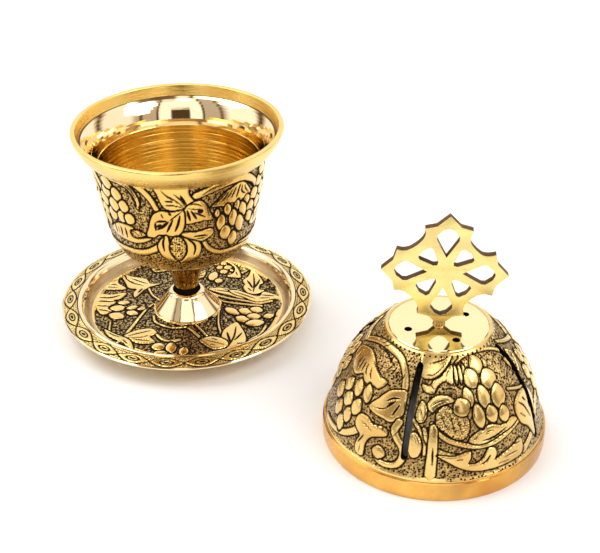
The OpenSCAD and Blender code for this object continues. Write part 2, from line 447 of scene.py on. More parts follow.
    def result(self):
        """Height of the surface, the line field and the face field."""
        height = -GROUND * (1 - ramp(self.face, -0.25, 0.15)) + self.crown * ramp(self.face, 0, 0.2) - 0.12
        deep = GROOVE * ramp(self.line, -0.12, 0.3)
        shallow = np.where(self.face < 0, 0.4, 1.0)
        return height - deep * shallow, self.line, self.face


# ---------------------------------------------------------------- bowl engraving

BOWL_REACH = 32.0
BOWL_REPEAT = 3

BOWL_LEFT_GRAPES = [
    (-31.5, 12.2, 2.5, 2.9, -30), (-33.0, 17.4, 2.3, 2.8, -10), (-28.6, 7.5, 2.6, 2.6, -30),
    (-27.0, 3.3, 3.0, 2.4, 25), (-27.5, 17.2, 2.4, 3.1, 5), (-25.3, 12.4, 2.5, 3.0, -8),
    (-22.6, 6.9, 2.4, 2.9, -10), (-22.3, 16.9, 2.1, 2.7, 12), (-20.0, 11.4, 2.2, 2.7, 15),
    (-18.3, 16.7, 2.2, 2.7, 28),
]
BOWL_RIGHT_GRAPES = [
    (16.4, 13.6, 1.0, 1.8, 0), (20.9, 13.3, 1.5, 2.6, -12), (25.3, 13.0, 1.3, 2.3, 0),
    (30.6, 12.4, 1.6, 2.1, -20), (33.8, 21.6, 1.9, 2.8, -25), (28.9, 16.1, 1.8, 3.6, -22),
    (18.3, 18.5, 1.8, 3.5, 0), (23.9, 18.2, 1.9, 3.8, -6), (27.9, 22.2, 2.1, 4.0, -14),
    (20.7, 24.0, 2.4, 3.2, -12), (24.8, 28.1, 2.3, 3.1, 0),
]


def engrave_bowl_stems(e):
    """The vine that runs round the bowl, above and below the grapes."""
    e.band([(-37, 33.4), (-30, 33.5), (-24, 33), (-18, 32.4), (-13, 31), (-9, 28.8), (-6, 26.4)], 2.8, 2.6)
    e.band([(-24, 0.2), (-19.5, 0.4), (-16, 1.8), (-13.9, 4.6), (-13, 8), (-13.4, 10.4)], 2.4, 1.0)
    e.gouge((-18.2, 0.6), (-15.3, 2.4), (-13.4, 5.6), 0.6)
    e.gouge((-22.4, 1.6), (-18.2, 2.3), (-15.9, 4.6), (-14.7, 7.6), (-14.2, 11), 0.6)
    e.band([(-15, -1.5), (-10.8, 1.6), (-7.9, 5.2), (-6.1, 9.6)], 2.6, 2.0)
    e.gouge((-12.7, 1.6), (-11.7, 4), (-11.7, 7), (-13.1, 10.2), 0.6)
    e.gouge((-7.2, 9.6), (-8.4, 13), (-9.8, 16.5), (-10.6, 20), (-11.8, 23), 1.0)
    e.band([(8.4, 3.9), (12, 2.7), (16, 1.7), (22, 0.8), (28, 1.6), (32, 4.2), (36.4, 8.8)], 2.8, 3.0)
    e.gouge((10.6, 3.7), (14, 1.9), (20, 0.9), 0.55)
    e.gouge((28.6, 3.6), (32.4, 6.2), (35.6, 9.8), 0.6)
    e.band([(10.9, 24.6), (12.6, 28.4), (15.6, 31.3), (19, 33), (25, 34), (31, 34.5), (37, 35.6)], 1.7, 2.4)


def engrave_bowl_leaves(e):
    """The flower and the leaves in the middle of the bowl."""
    upper = [(-5.9, -1), (-5.2, 3), (-4.1, 7), (-2.2, 9.4), (2, 9.6), (5, 8.4), (7.6, 6.4), (6, 3.2),
             (4.6, -1)]
    e.plate(upper, [
        ((-3.7, 0.8), (-1.6, 3.4), (0, 5.2), 0.5), ((0.5, 2.3), (2.8, 4.8), (4.4, 8), 0.55),
        ((2.9, 3.1), (4.9, 7.6), 0.95), ((-2.2, 2.6), (1, 5.2), (3.6, 8), 0.5),
        ((-3.6, 7.6), (0, 7.4), (3.7, 8.6), 0.5), ((-2.6, 5.4), (0.2, 5.9), 0.8),
    ])
    e.plate([(4.6, 8.6), (7, 6.7), (10, 6.3), (12, 8.6), (13.4, 12), (14.5, 15.7), (11, 15.6), (8, 16),
             (4, 16.1), (3.3, 12)], [
        ((5, 10), (6, 14.8), 1.0), ((6.4, 10.3), (8.4, 14.3), 0.9), ((7.6, 11.2), (11.7, 13.9), 0.75),
        ((5.2, 7.3), (8.4, 7.5), (10.8, 9), 0.55), ((5.4, 9), (8, 9.8), (9.6, 10), 0.5),
        ((9.3, 10.6), (10.4, 11.2), 2.0), ((12, 9), (13.4, 14.6), 0.5),
    ])
    e.plate([(3.4, 9.8), (4, 14), (3.6, 17.6), (2.2, 20.8), (-0.6, 21.9), (-3.6, 21.6), (-6.4, 21.6),
             (-8.6, 23.2), (-11.5, 22.6), (-10.1, 18.5), (-9, 15), (-7.4, 11.9), (-4.6, 10.2),
             (-0.6, 10.6)], [
        ((2.3, 12.2), (1.4, 16.2), (0.1, 19.5), 1.0), ((-0.4, 14), (-1.8, 17.2), (-3, 19.8), 0.95),
        ((-7.2, 16), (-7.4, 19.4), 1.0), ((-6.6, 18.9), (-4, 17), (-2.2, 15), 1.3),
        ((-6.8, 15.4), (-4.6, 14.8), (-2.8, 14.8), 1.0), ((-5, 16.6), (-6.6, 17.6), 1.2),
        ((3, 10.3), (0.6, 12.4), (-1.6, 14.4), 0.55), ((-4.6, 11.4), (-3.9, 13.4), 0.6),
        ((-1.8, 10.8), (-0.8, 11.9), 0.8),
    ])
    e.plate([(-3.4, 21.6), (-2.7, 25), (-2.9, 28.5), (-2, 31.6), (0.3, 34.5), (-3, 33.9), (-5.8, 32.3),
             (-7.3, 29.2), (-7.4, 26.4), (-5.6, 23.4)], [((-4.2, 22), (-5.2, 25.5), (-5, 29.2), 0.95)])
    e.plate([(2.1, 21.5), (3.9, 25), (4.5, 28.5), (3.8, 31.4), (0.8, 34.7), (5, 34.7), (8.6, 32.8),
             (10.1, 29.6), (9.9, 26.4), (8, 24.3), (5, 22)], [
        ((4.5, 23.2), (7, 25.8), (7.7, 28.4), (7, 31.2), 0.95)])
    e.plate([(0.6, 21.9), (3.2, 24.2), (4, 28), (3, 31.6), (0.8, 34), (-1.4, 31.6), (-2.6, 28), (-1.6, 24)],
            crown=0.25, dots=True)
    e.plate([(2.3, 21.2), (4, 20.2), (8, 20.6), (12, 20), (14.5, 20.2), (15.2, 21.6), (14.6, 23.2),
             (12, 24.7), (10, 25.2), (7.6, 24), (5, 23)], [((7.2, 22.5), (10, 22.4), (12.8, 22.8), 0.8),
                                                          ((8.4, 23.6), (11.8, 23.8), 0.5)])


def engrave_bowl_acanthus(e):
    """The long curled leaves on both sides of the flower."""
    e.plate([(13.9, 10.2), (16, 8.2), (19, 5.3), (22.5, 4), (25.5, 3.1), (28, 3.8), (30, 6), (32.4, 9.8),
             (30, 10.8), (28, 11), (25.6, 11.8), (22.2, 10.7), (20, 11.5), (17, 10.5)], [
        ((15.4, 9.3), (20, 5), 0.6), ((17.8, 9.2), (21.2, 4.9), 0.6), ((19.9, 8.6), (22.3, 4.9), 0.75),
        ((22.1, 8.2), (23.9, 4.4), 0.85), ((24.4, 9), (25.7, 3.9), 0.85),
        ((28.9, 9.2), (26.9, 7.2), (26.9, 4.6), 0.75), ((31, 9.4), (28.8, 7), (28.2, 5), 0.6),
    ])
    e.plate([(-27.4, 21.8), (-24, 20.5), (-18.4, 20.2), (-17.2, 21.2), (-18.9, 21.8), (-19.8, 23.6),
             (-18.8, 25.3), (-16, 25.4), (-12, 24), (-9.6, 23.9), (-13, 26.3), (-18, 27.9), (-24, 28.1),
             (-29.4, 27.6), (-31.5, 25)], [
        ((-28.4, 22.2), (-28.1, 26.2), 0.85), ((-24.4, 22.2), (-24.7, 26.6), 0.95),
        ((-21.8, 21.8), (-21.9, 26.4), 1.0), ((-26.4, 23), (-26.4, 26), 0.5)])
    e.plate([(-19.2, 23.6), (-17.4, 21.6), (-14.4, 21.4), (-12.2, 22.6), (-14.4, 24.2), (-17.4, 25)],
            crown=0.2, dots=True)


def engrave_bowl(angle, r, z):
    """The bowl's wall, unrolled: x along its girth and y down from its top."""
    along = np.concatenate([[0], np.cumsum(np.hypot(np.diff(r), np.diff(z)))])
    x = ((angle + math.pi / 2 + math.pi) % (2 * math.pi) - math.pi) * BOWL_REACH
    down = along[-1] - along
    x, y = np.meshgrid(x, down)
    e = Engraving(x, y, 2 * math.pi * BOWL_REACH / BOWL_REPEAT)
    engrave_bowl_stems(e)
    engrave_bowl_acanthus(e)
    engrave_bowl_leaves(e)
    for berry in BOWL_LEFT_GRAPES + BOWL_RIGHT_GRAPES:
        e.berry(*berry)
    e.punch()
    height, line, face = e.result()
    fade = ramp(down, 38, 41)[:, None]
    edge = (1 - ramp(down, 0.1, 0.5))[:, None]
    return height * (1 - fade) * (1 - edge), line - FAR * fade - FAR * edge, face + FAR * fade + FAR * edge


# ---------------------------------------------------------------- dome engraving

DOME_REACH = 33.0
DOME_REPEAT = 2

DOME_LEFT_GRAPES = [
    (-44.8, 16.2, 2.2, 3.1, 0), (-41.0, 21.3, 2.0, 2.8, -20), (-35.5, 23.1, 2.1, 3.0, 12),
    (-30.3, 23.5, 1.9, 3.1, 14), (-38.2, 16.9, 2.2, 2.9, -15), (-33.0, 16.9, 2.1, 3.1, -10),
    (-41.8, 11.1, 1.9, 3.3, -10), (-36.0, 11.9, 1.8, 2.8, 0), (-38.5, 7.2, 1.8, 2.9, 8),
]
DOME_RIGHT_GRAPES = [
    (21.3, 38.4, 1.3, 1.5, 0), (16.6, 39.0, 3.4, 3.2, 10), (11.9, 34.8, 3.2, 3.3, 20),
    (20.0, 33.0, 3.7, 3.4, 10),
    (9.0, 28.9, 1.9, 3.2, 12), (15.3, 27.8, 2.3, 4.0, 8), (21.6, 26.4, 3.0, 4.0, -10),
    (6.0, 25.8, 3.0, 3.0, 25),
    (12.0, 21.9, 2.0, 4.0, 8), (17.0, 21.4, 2.1, 3.0, 10), (22.0, 19.8, 2.1, 2.8, 0),
]
DOME_BACK_GRAPES = [
    (46, 30, 2.1, 3.0, 8), (50.6, 29.4, 2.1, 3.0, -8), (43.8, 24.2, 2.1, 3.0, 10), (48.4, 24, 2.1, 3.1, 0),
    (52.8, 23.6, 2.0, 3.0, -10), (46, 18.2, 2.0, 3.0, 6), (50.4, 18, 2.0, 3.0, -6),
    (48.2, 12.4, 1.9, 3.0, 0),
]


def engrave_dome_stems(e):
    """The scrolling stems between the leaves and the grapes."""
    e.band([(-52, 35.6), (-46, 38.6), (-40, 40.4), (-32, 40.9), (-25, 40.2), (-20.6, 38), (-17.5, 34.6),
            (-16.2, 31)], 2.0, 2.6)
    e.gouge((-40, 38.2), (-33, 38.8), (-27.4, 37), 0.7)
    e.gouge((-46, 36), (-37, 37.2), (-31, 36.2), 0.5)
    e.gouge((-28.8, 38), (-27, 37), 1.4)
    e.band([(-48, 2.2), (-41, 3), (-35.4, 5.2), (-31.6, 8.2), (-28.4, 11.6)], 2.0, 2.6)
    e.band([(-10.6, 21), (-8.2, 17.6), (-6.5, 14), (-6.2, 9.6)], 1.1, 0.9)
    e.band([(-4.4, 20.4), (-2, 17.2), (1, 14.9), (5, 13.2), (10, 11.7), (16, 11.5), (21.4, 12.8),
            (27, 14.8)], 1.3, 1.9)
    e.band([(-6.8, 18.4), (-5.6, 14.6), (-3.5, 12), (0, 10), (4.4, 8.8)], 1.2, 1.8)
    e.band([(6, 40.6), (10, 42.4), (16, 43.2), (24, 42.8), (31, 41), (36, 38)], 1.0, 1.4)
    e.band([(27, 26.6), (31, 25), (35, 23.6), (39, 23.4)], 1.0, 1.0)
    e.band([(-3.8, 19), (-3.8, 12), (-4.1, 2.4)], 2.6, 3.2)
    e.gouge((-3.7, 12.4), (-3.6, 6.2), 0.75)
    e.band([(28, 3), (33, 6), (38, 11), (42, 14.6), (45, 15.6)], 2.4, 1.2)
    e.band([(38.6, 41), (44, 38.6), (49, 36.6), (52, 35.6)], 1.2, 2.0)


def engrave_dome_leaves(e):
    """The leaves left of the front slot, and the bud on its right."""
    e.plate([(-27.9, 20.4), (-25.2, 24.1), (-22.2, 27.9), (-18.6, 29.4), (-15, 29.6), (-14.4, 25),
             (-14.8, 21.6), (-18, 18.3), (-22, 18.5), (-25.6, 18.8)], [
        ((-25.6, 20.6), (-22.6, 21.4), (-20, 23), 0.6), ((-21.6, 24.6), (-19.4, 26.2), (-16.6, 26.8), 0.95),
        ((-21, 22.8), (-19.6, 24), (-18.2, 25.6), 0.95), ((-18.3, 20.5), (-17.4, 22.6),
        (-16.4, 24.9), 0.95),
        ((-20.4, 24), (-18.8, 24.9), 1.1)])
    e.plate([(-50, 32.4), (-46, 27), (-42, 25.4), (-39.6, 26.2), (-37, 28), (-35.2, 26.7), (-33, 26.1),
             (-29.6, 26.9), (-26.6, 27.1), (-24.2, 30.3), (-28, 31), (-33, 33), (-37, 35), (-43, 35.6)], [
        ((-45.6, 33), (-45.8, 28.6), 0.7), ((-43.2, 32.8), (-43, 28), 0.8), ((-41, 32.4),
        (-40.5, 27.6), 0.9),
        ((-38.9, 32), (-38.4, 28), 0.9), ((-37, 31.8), (-36.4, 29.6), (-34.9, 28.3), 0.85),
        ((-34.2, 31.5), (-33.2, 29.6), (-31.7, 28.3), 0.75), ((-36, 33.6), (-31, 32), (-27.6, 30.2), 0.5)])
    e.plate([(-31.4, 13.3), (-30.3, 15.9), (-27, 16.4), (-24.6, 15), (-21, 15.6), (-19, 15), (-18.7, 13),
             (-21, 11.8), (-24, 10.2), (-25.6, 7), (-25.8, 2.2), (-28.8, 2.4), (-29.1, 6), (-28.3, 9),
             (-30.8, 11)],
            [((-26.6, 10), (-27.4, 8.2), (-28.3, 6.2), 0.65), ((-29, 14), (-26.4, 13.4), (-24, 12.6), 0.5),
             ((-24.6, 16), (-24, 14.6), 0.7), ((-22.6, 16), (-22.2, 14.5), 0.7), ((-20.6, 15.8),
             (-20.4, 14.3), 0.7),
             ((-27.2, 6), (-27.3, 3), 0.4)])
    e.band([(-21.4, 4.4), (-19.5, 3), (-16.6, 2.9), (-14, 4.3), (-12.7, 7.4), (-13.2, 10.6), (-15.2, 13.2),
            (-16.5, 16), (-15.4, 19)], 1.7, 2.5)
    e.gouge((-16.4, 14), (-15, 16.2), (-14, 18), 0.6)
    e.berry(-20.5, 6.3, 2.1, 2.2, 0, 0.4)
    e.plate([(-11.4, 15.4), (-9.6, 16.8), (-7.6, 14.4), (-7.2, 11), (-8.2, 8.4), (-10.2, 8), (-11.4, 10.8)],
            [((-9.9, 15.8), (-8.8, 13.4), 0.45)], crown=0.3)
    e.plate([(-2.8, 20), (-3, 24), (0, 26.6), (3.4, 24.6), (7.6, 22), (8.2, 18.6), (6.4, 15.2),
             (3, 15.3), (0.4, 17.4)],
            [((-1.6, 24), (-0.6, 21.4), (0.8, 18.6), 0.6), ((1.4, 24.6), (2.4, 20.8), (3.2, 17), 0.6),
             ((4, 22.4), (4.8, 19.8), (5.2, 17), 0.5), ((6.2, 21.4), (6.8, 19), 0.45)], dots=True)


def engrave_dome_crown(e):
    e.plate([(-11.6, 45), (-12, 39), (-10.2, 35.7), (-6, 35.4), (-2, 37.2), (2.2, 40.8), (5, 45)], [
        ((-7.6, 40.4), (-2, 41.6), (4, 43.4), 0.75), ((-8.4, 36.4), (-4.4, 37), (1.8, 41.6), 0.5)])
    e.plate([(-9.6, 33.4), (-6.4, 33), (-4.6, 35), (-1.6, 36.4), (1.6, 39.2), (4.2, 40), (3.6, 36),
             (3.4, 33.6),
             (0.4, 34.8), (-2.4, 33.6), (-4.4, 30.6), (-8, 31)], [
        ((2.2, 38.8), (0.6, 36.4), 0.5), ((-5.8, 33.4), (-4.4, 31.6), 0.5)])
    for across in (5.2, 7.3, 9.4):
        e.berry(across, 36.9, 0.85, 3.0, 0, 0.2)
    e.gouge((-4.8, 29), (-3, 33), (0.6, 35), 0.6)


def engrave_dome_fronds(e):
    """Small fronds that fill the ground beside the front slot and up the left side."""
    e.plate([(-6.6, 26.4), (-4.8, 29), (-2, 30.2), (1.4, 29.8), (3.6, 28), (0.6, 27.4), (-2.6, 26.2),
             (-4.6, 24.4)], [
        ((-5, 26.4), (-2, 28.2), (1.6, 28.6), 0.6)])
    e.plate([(-10, 24.2), (-8.6, 27.8), (-6.8, 26.2), (-6.4, 23), (-7.6, 20.6), (-9.6, 21)], [
        ((-8.8, 25.6), (-7.9, 22.2), 0.5)])
    e.gouge((4.6, 31.4), (2, 32.4), (-1, 31.8), 0.7)
    e.gouge((5, 29.8), (3, 30.8), (0.6, 30.9), 0.6)
    for k in range(5):
        x = -47 + 3.4 * k
        e.gouge((x, 42.4), (x - 1.4, 40.8), (x - 3.4, 39.9), 0.6)
    for k in range(4):
        x = -27.4 + 2.6 * k
        e.gouge((x, 33.6 - 0.5 * k), (x + 1.4, 35.2 - 0.5 * k), (x + 1.8, 37 - 0.5 * k), 0.6)
    e.gouge((30, 30), (33, 32.4), (36.6, 33), 0.7)
    e.gouge((28.6, 33.4), (31.6, 35.6), (35, 36), 0.7)
    e.gouge((26.6, 36.8), (29, 38.4), (32, 38.4), 0.6)


def engrave_dome_acanthus(e):
    """The curled leaves along the foot of the dome."""
    e.plate([(7.6, 14.2), (11, 16.7), (16, 18), (20, 16.4), (24.6, 17.3), (27, 15.6), (24, 14.2),
             (20, 13.6),
             (14, 12.3), (10, 12.5)], [
        ((12.2, 13.3), (16, 13.4), (21.6, 14.9), 0.95), ((8.8, 14.1), (9.8, 14.6), (10.8, 15.8), 0.5),
        ((13.4, 15.7), (16.2, 16.1), 0.6)])
    e.plate([(-2.2, 9.6), (3, 9.2), (7.6, 10.4), (8.1, 8), (7.2, 5.9), (9.5, 5.6), (12, 7), (14, 10),
             (16.3, 9.4),
             (16.7, 7), (15.8, 5.1), (19, 6.2), (23, 7.2), (26.9, 8.4), (27.5, 4.6), (25.6, 2.1), (18, 2.1),
             (10, 2.7), (5, 4.5), (1, 7.2)], [
        ((11, 4.9), (13, 5.8), (14.5, 7.6), 0.75), ((3.6, 7.8), (5.6, 8), 0.6), ((19, 4.9),
        (24.5, 4.6), 0.6),
        ((23.8, 7.4), (26.2, 7.3), 0.6), ((17, 3.4), (21, 3.2), 0.5)])
    e.plate([(27.2, 19.4), (30, 22.4), (34, 23), (38, 21.6), (39.4, 16), (36.6, 10.6), (35, 4),
             (32, 9.6), (28.4, 13.4)],
            [((29.4, 20.4), (32, 17.6), (34.4, 12), 0.75), ((32.4, 20.8), (33.8, 18.6), 0.85),
             ((35.6, 20), (35, 15.4), 0.85), ((28.8, 16.8), (31.6, 13.4), 0.6)])
    e.leaf((40.6, 31), 150, 8.5)


def engrave_dome(angle, r, z):
    """The dome, unrolled: x along its girth and y up from the rim."""
    along = np.concatenate([[0], np.cumsum(np.hypot(np.diff(r), np.diff(z)))])
    x = ((angle + math.pi / 2 + math.pi) % (2 * math.pi) - math.pi) * DOME_REACH
    x, y = np.meshgrid(x, along)
    e = Engraving(x, y, 2 * math.pi * DOME_REACH / DOME_REPEAT)
    engrave_dome_stems(e)
    engrave_dome_fronds(e)
    engrave_dome_crown(e)
    engrave_dome_acanthus(e)
    engrave_dome_leaves(e)
    for berry in DOME_LEFT_GRAPES + DOME_RIGHT_GRAPES + DOME_BACK_GRAPES:
        e.berry(*berry)
    e.punch()
    height, line, face = e.result()
    top = along[-1]
    edge = (1 - ramp(along, 0.3, 1.2) + ramp(along, top - 1.6, top - 0.9))[:, None]
    # A row of punched beads runs round the vent disc.
    bead = 0.8 - np.hypot((x % 3.2) - 1.6, (y - top + 1) * 1.9)
    return height * (1 - edge), np.maximum(line - FAR * edge, bead), face + FAR * edge


# ---------------------------------------------------------------- saucer engraving

LENS_COUNT = 22
LENS_PHASE = math.radians(174.5)
BORDER_R = 46.9
LENS_H = 2.3
# Two lines that bound the border, and its rows of dots.
BORDER_LINES = (2.75, -2.95)
DOT_ROW = 0.85
DOTS_PER_LENS = 4.6

WELL_GRAPES = [
    (18.2, -4.4, 3.6, 1.8, -40), (23.6, -4.6, 3.0, 2.0, -30), (28, -3.4, 2.6, 1.9, -20),
    (22.6, -10.2, 3.0, 2.0, -30),
    (27, -8.2, 2.7, 1.9, -5), (27.6, -13, 3.6, 2.2, 8), (33, -8, 2.2, 1.6, 20), (9.2, 22.8, 1.9, 3.4, -10),
    (11.7, 19, 1.6, 1.8, 0), (-28.2, -1.7, 3.0, 2.0, 0), (-22.4, -1.3, 2.3, 1.3, 20),
    (-28, -7.4, 3.2, 2.2, -20),
    (-22, -5.3, 2.4, 1.6, -15), (-18.6, -2.3, 1.8, 1.0, 20), (-26.2, 2.4, 2.4, 1.4, 0),
    (-9.4, -29.2, 2.5, 2.3, 0),
    (-4.4, -30, 2.0, 3.3, 5), (-8.2, -33.6, 2.6, 1.4, 0), (0.6, -32.4, 1.8, 2.6, -8),
]


def engrave_well_stems(e):
    """Thin stems that wander out from the foot."""
    e.band([(7.1, 11.3), (12.1, 7.4), (17.6, 4.8), (23.1, 3.2), (28.6, 1.4), (34, 3.1)], 0.9, 1.4)
    e.band([(13, 3.4), (18, 1.6), (24, 0.4), (30, -0.6)], 0.9, 1.2)
    e.band([(13.4, 2), (12.9, -6), (13.2, -14), (14.6, -21)], 0.7, 1.1)
    e.band([(3, -12), (6, -17), (9, -22)], 0.9, 1.0)
    e.band([(-6, -11.6), (-2, -14), (2, -17), (6, -22.6)], 1.0, 1.2)
    e.band([(-14.1, 1.4), (-16.4, -2.3), (-19.1, -9.6), (-21.1, -15.6), (-23.2, -21.4)], 0.9, 1.5)
    e.band([(-13.1, -7.7), (-12, -12), (-8, -15), (-4.7, -16.3), (0.5, -15.7)], 1.2, 0.9)
    e.band([(-11, -20.4), (-8.3, -24.2), (-4.9, -25.7), (-1.4, -24.5)], 1.2, 1.4)
    e.band([(-12.4, 5), (-15, 8), (-17, 13), (-17.6, 15.6)], 0.9, 1.2)
    e.band([(-30, -12), (-29, -20), (-22, -28), (-12, -33.4), (-2, -35)], 1.0, 1.2)
    blades = (((31.1, -18.5), (34.9, -12.6), (37.1, -4)), ((29.2, -20.8), (33.6, -15.7), (36.1, -9.5)),
              ((28.6, -24.3), (33, -18.5), (36.9, -11.4)), ((25.6, -25.3), (30, -20.5), (32, -15.4)))
    for blade in blades:
        e.band(blade, 0.8, 1.3)


def engrave_well_leaves(e):
    """The leaves right of the foot."""
    e.plate([(25.4, 28.4), (28.1, 23.5), (30.3, 17.6), (29.1, 16), (28.8, 12.1), (31, 11.1), (27.1, 8.3),
             (24.1, 9.1), (22.1, 13.2), (22.6, 16.1), (21.7, 19), (23.9, 22.4)], [
        ((26.1, 24.3), (26.6, 16), (26.4, 9.8), 0.75), ((23.6, 18.8), (24.8, 16), (25.9, 13), 0.95),
        ((28.8, 19.5), (28, 16.4), (27, 13.4), 0.9), ((24, 12.6), (25.6, 10.6), 0.7)])
    e.plate([(7.6, 12.6), (13.2, 13.4), (18.1, 11.8), (22.3, 8.6), (25.8, 5.6), (21.7, 4.8), (16.9, 7.4),
             (11.9, 9.7)], [((10.2, 11.6), (16.8, 9.7), (21.7, 6.5), 0.6), ((14, 12.2), (18.6, 10.2), 0.5)])
    e.plate([(16.3, 11.2), (20.1, 11.2), (23.8, 8.8), (28.5, 6.5), (30.2, 9.8), (32.6, 9.4), (36.9, 6.6),
             (37.9, 4.3), (34, 4.4), (30.6, 2.7), (26.6, 2.7), (22.4, 6), (18.9, 7.9)], [
        ((18.6, 10), (23, 7.3), (27.2, 4.7), 0.6), ((29.8, 7.4), (32, 7), (34.8, 6.6), 0.75),
        ((29, 5), (33, 5.2), 0.6)])
    e.plate([(13.3, 35.4), (16.5, 34), (19.5, 28.4), (20.9, 21.7), (18.4, 21.4), (14.8, 22.5), (17.5, 24.9),
             (17.8, 29.8)], [((15.6, 33), (18.2, 28), 0.6), ((18.6, 26), (19.4, 23), 0.6)])
    e.plate([(17.4, -30.6), (15, -25.6), (15, -19.4), (17, -15.4), (20.2, -12.4), (22.4, -16.4),
             (24, -21), (24.4, -26),
             (21.6, -29)], [
        ((20.2, -16), (19.6, -23), (17.8, -29.4), 0.75), ((16.8, -20), (17.6, -23.4), (18.4, -26.6), 0.95),
        ((22.6, -20.4), (21.4, -22.8), (20, -25.2), 0.9), ((21, -27.6), (24, -27.2), 0.8)])
    e.plate([(17, -29.6), (12, -31.2), (7.6, -27), (6.4, -24.6), (10.6, -22.4), (15, -23.8),
             (17.4, -26.4)], [
        ((8, -25), (12, -26.4), (16, -28.4), 0.6), ((11, -23.8), (13.2, -25.2), 0.6), ((10.6, -28.2),
        (13, -28.4), 0.6)])


def engrave_well_left(e):
    """The sharper leaves left of the foot, the lowest of them beside the front."""
    e.plate([(-30.4, 29.2), (-26.5, 23.8), (-22.2, 21.9), (-18.6, 20.5), (-16.5, 17), (-11.7, 17.2),
             (-16.1, 14.7),
             (-18.1, 12.6), (-19.1, 11.4), (-22, 6.2), (-23.1, 9.9), (-22.1, 12.7), (-25.4, 13.5),
             (-27.6, 18.5),
             (-29.9, 24.1)], [
        ((-27.4, 20.8), (-24, 17.4), (-19.6, 15.4), 0.9), ((-25, 21), (-21.6, 18.8), (-18, 16.8), 0.8),
        ((-21.2, 9.6), (-19.6, 13), 0.8), ((-28.6, 24.6), (-27, 20.6), 0.6)])
    e.plate([(-40, 16), (-38.1, 19.7), (-33.8, 19.1), (-30.4, 20.1), (-30, 17.5), (-26.2, 13), (-31, 12.2),
             (-35.7, 12.8)], [((-37.6, 17.4), (-33.5, 16.9), (-30.2, 15.7), 0.9), ((-35.9, 14.6),
             (-30.1, 14), 0.8)])
    e.plate([(-36.6, 22), (-34.2, 24.6), (-31.4, 24), (-29.8, 21.7), (-34.1, 20.7)], [((-35, 22.6),
             (-31.6, 22.6), 0.8)])
    e.plate([(-38.8, 2.7), (-38.4, 6), (-36.4, 9.4), (-32.5, 8.6), (-26, 10), (-27.6, 5.6), (-30.5, 4.2),
             (-28.9, 2.6), (-31.5, 0.1), (-29.9, -3.2), (-31.4, -5.4), (-27.9, -7), (-28.4, -11),
             (-31.9, -7),
             (-34.9, -5.6), (-37.2, -1.3)], [
        ((-36.9, 6.4), (-32.2, 6), (-28.4, 7.8), 1.0), ((-36.9, 3.6), (-33.6, 3.2), (-30, 3.2), 1.0),
        ((-36.7, 0.2), (-34, -0.2), (-31.6, -0.4), 0.95), ((-35.7, -3), (-33.4, -3.4), (-31, -4.2), 0.9),
        ((-33, -6.2), (-30, -8.2), 0.8)])
    e.plate([(-23.6, -22.4), (-21.3, -19.4), (-18.2, -17.6), (-13.2, -16.7), (-10.6, -19.9), (-13.2, -22.3),
             (-10.8, -26), (-15.4, -27.2), (-20.1, -25.6)], [
        ((-21.6, -21.8), (-17.6, -20), (-13.4, -18.4), 0.75), ((-21.4, -23), (-17, -23),
        (-13.8, -21.6), 0.6),
        ((-19.6, -24), (-16.4, -24.8), (-13, -25.2), 0.8)])
    e.plate([(-23.4, -22.6), (-27.1, -20.3), (-31.8, -16.8), (-30.2, -21), (-27.4, -23.7), (-25.6, -25.1),
             (-27, -27.5), (-23.9, -26), (-21.8, -28.6), (-18.9, -31), (-20.3, -25.6)], [
        ((-24.4, -22.8), (-27.4, -21.4), (-29.8, -19.4), 0.7), ((-23.6, -24.4), (-21.4, -27.4), 0.7)])


def engrave_well_rays(e):
    """Fine strokes that run out from the foot, and hatching under the leaves by the wall."""
    rays = []
    for k in range(40):
        rays.append((math.radians(9 * k + 3 * math.sin(k * 2.3)), 14.2, 17.4 + 1.4 * math.sin(k * 1.7), 0.07))
    for k in range(72):
        rays.append((math.radians(5 * k), 35.6, 37.6, 0.04))
    for a, start, end, lean in rays:
        e.gouge((start * math.cos(a), start * math.sin(a)),
                (end * math.cos(a + lean), end * math.sin(a + lean)), 0.5)


def engrave_well_back(e):
    """The part of the well behind the stem, which carries the same leaves and grapes."""
    e.leaf((0, 21), 90, 11)
    e.leaf((-12, 27), 110, 8)
    e.leaf((18, 26), 60, 8)
    for row, count in enumerate((3, 2, 1)):
        for k in range(count):
            across = (k - (count - 1) / 2) * 4
            e.berry(-6 + across, 33.5 - row * 3.6, 1.9, 1.7, 0)
            e.berry(13.5 + across * 0.8, 33 - row * 3.4, 1.7, 1.6, 20)


def engrave_well(angle, r, z):
    """The saucer's flat well, seen from above."""
    x = r[:, None] * np.cos(angle)
    y = r[:, None] * np.sin(angle)
    e = Engraving(x, y)
    engrave_well_rays(e)
    engrave_well_stems(e)
    engrave_well_back(e)
    engrave_well_leaves(e)
    engrave_well_left(e)
    for berry in WELL_GRAPES:
        e.berry(*berry)
    e.punch()
    height, line, face = e.result()
    edge = (1 - ramp(r, FOOT_R + 0.1, FOOT_R + 0.9) + ramp(r, r[-1] - 0.9, r[-1] - 0.3))[:, None]
    return height * (1 - edge), line - FAR * edge, face + FAR * edge


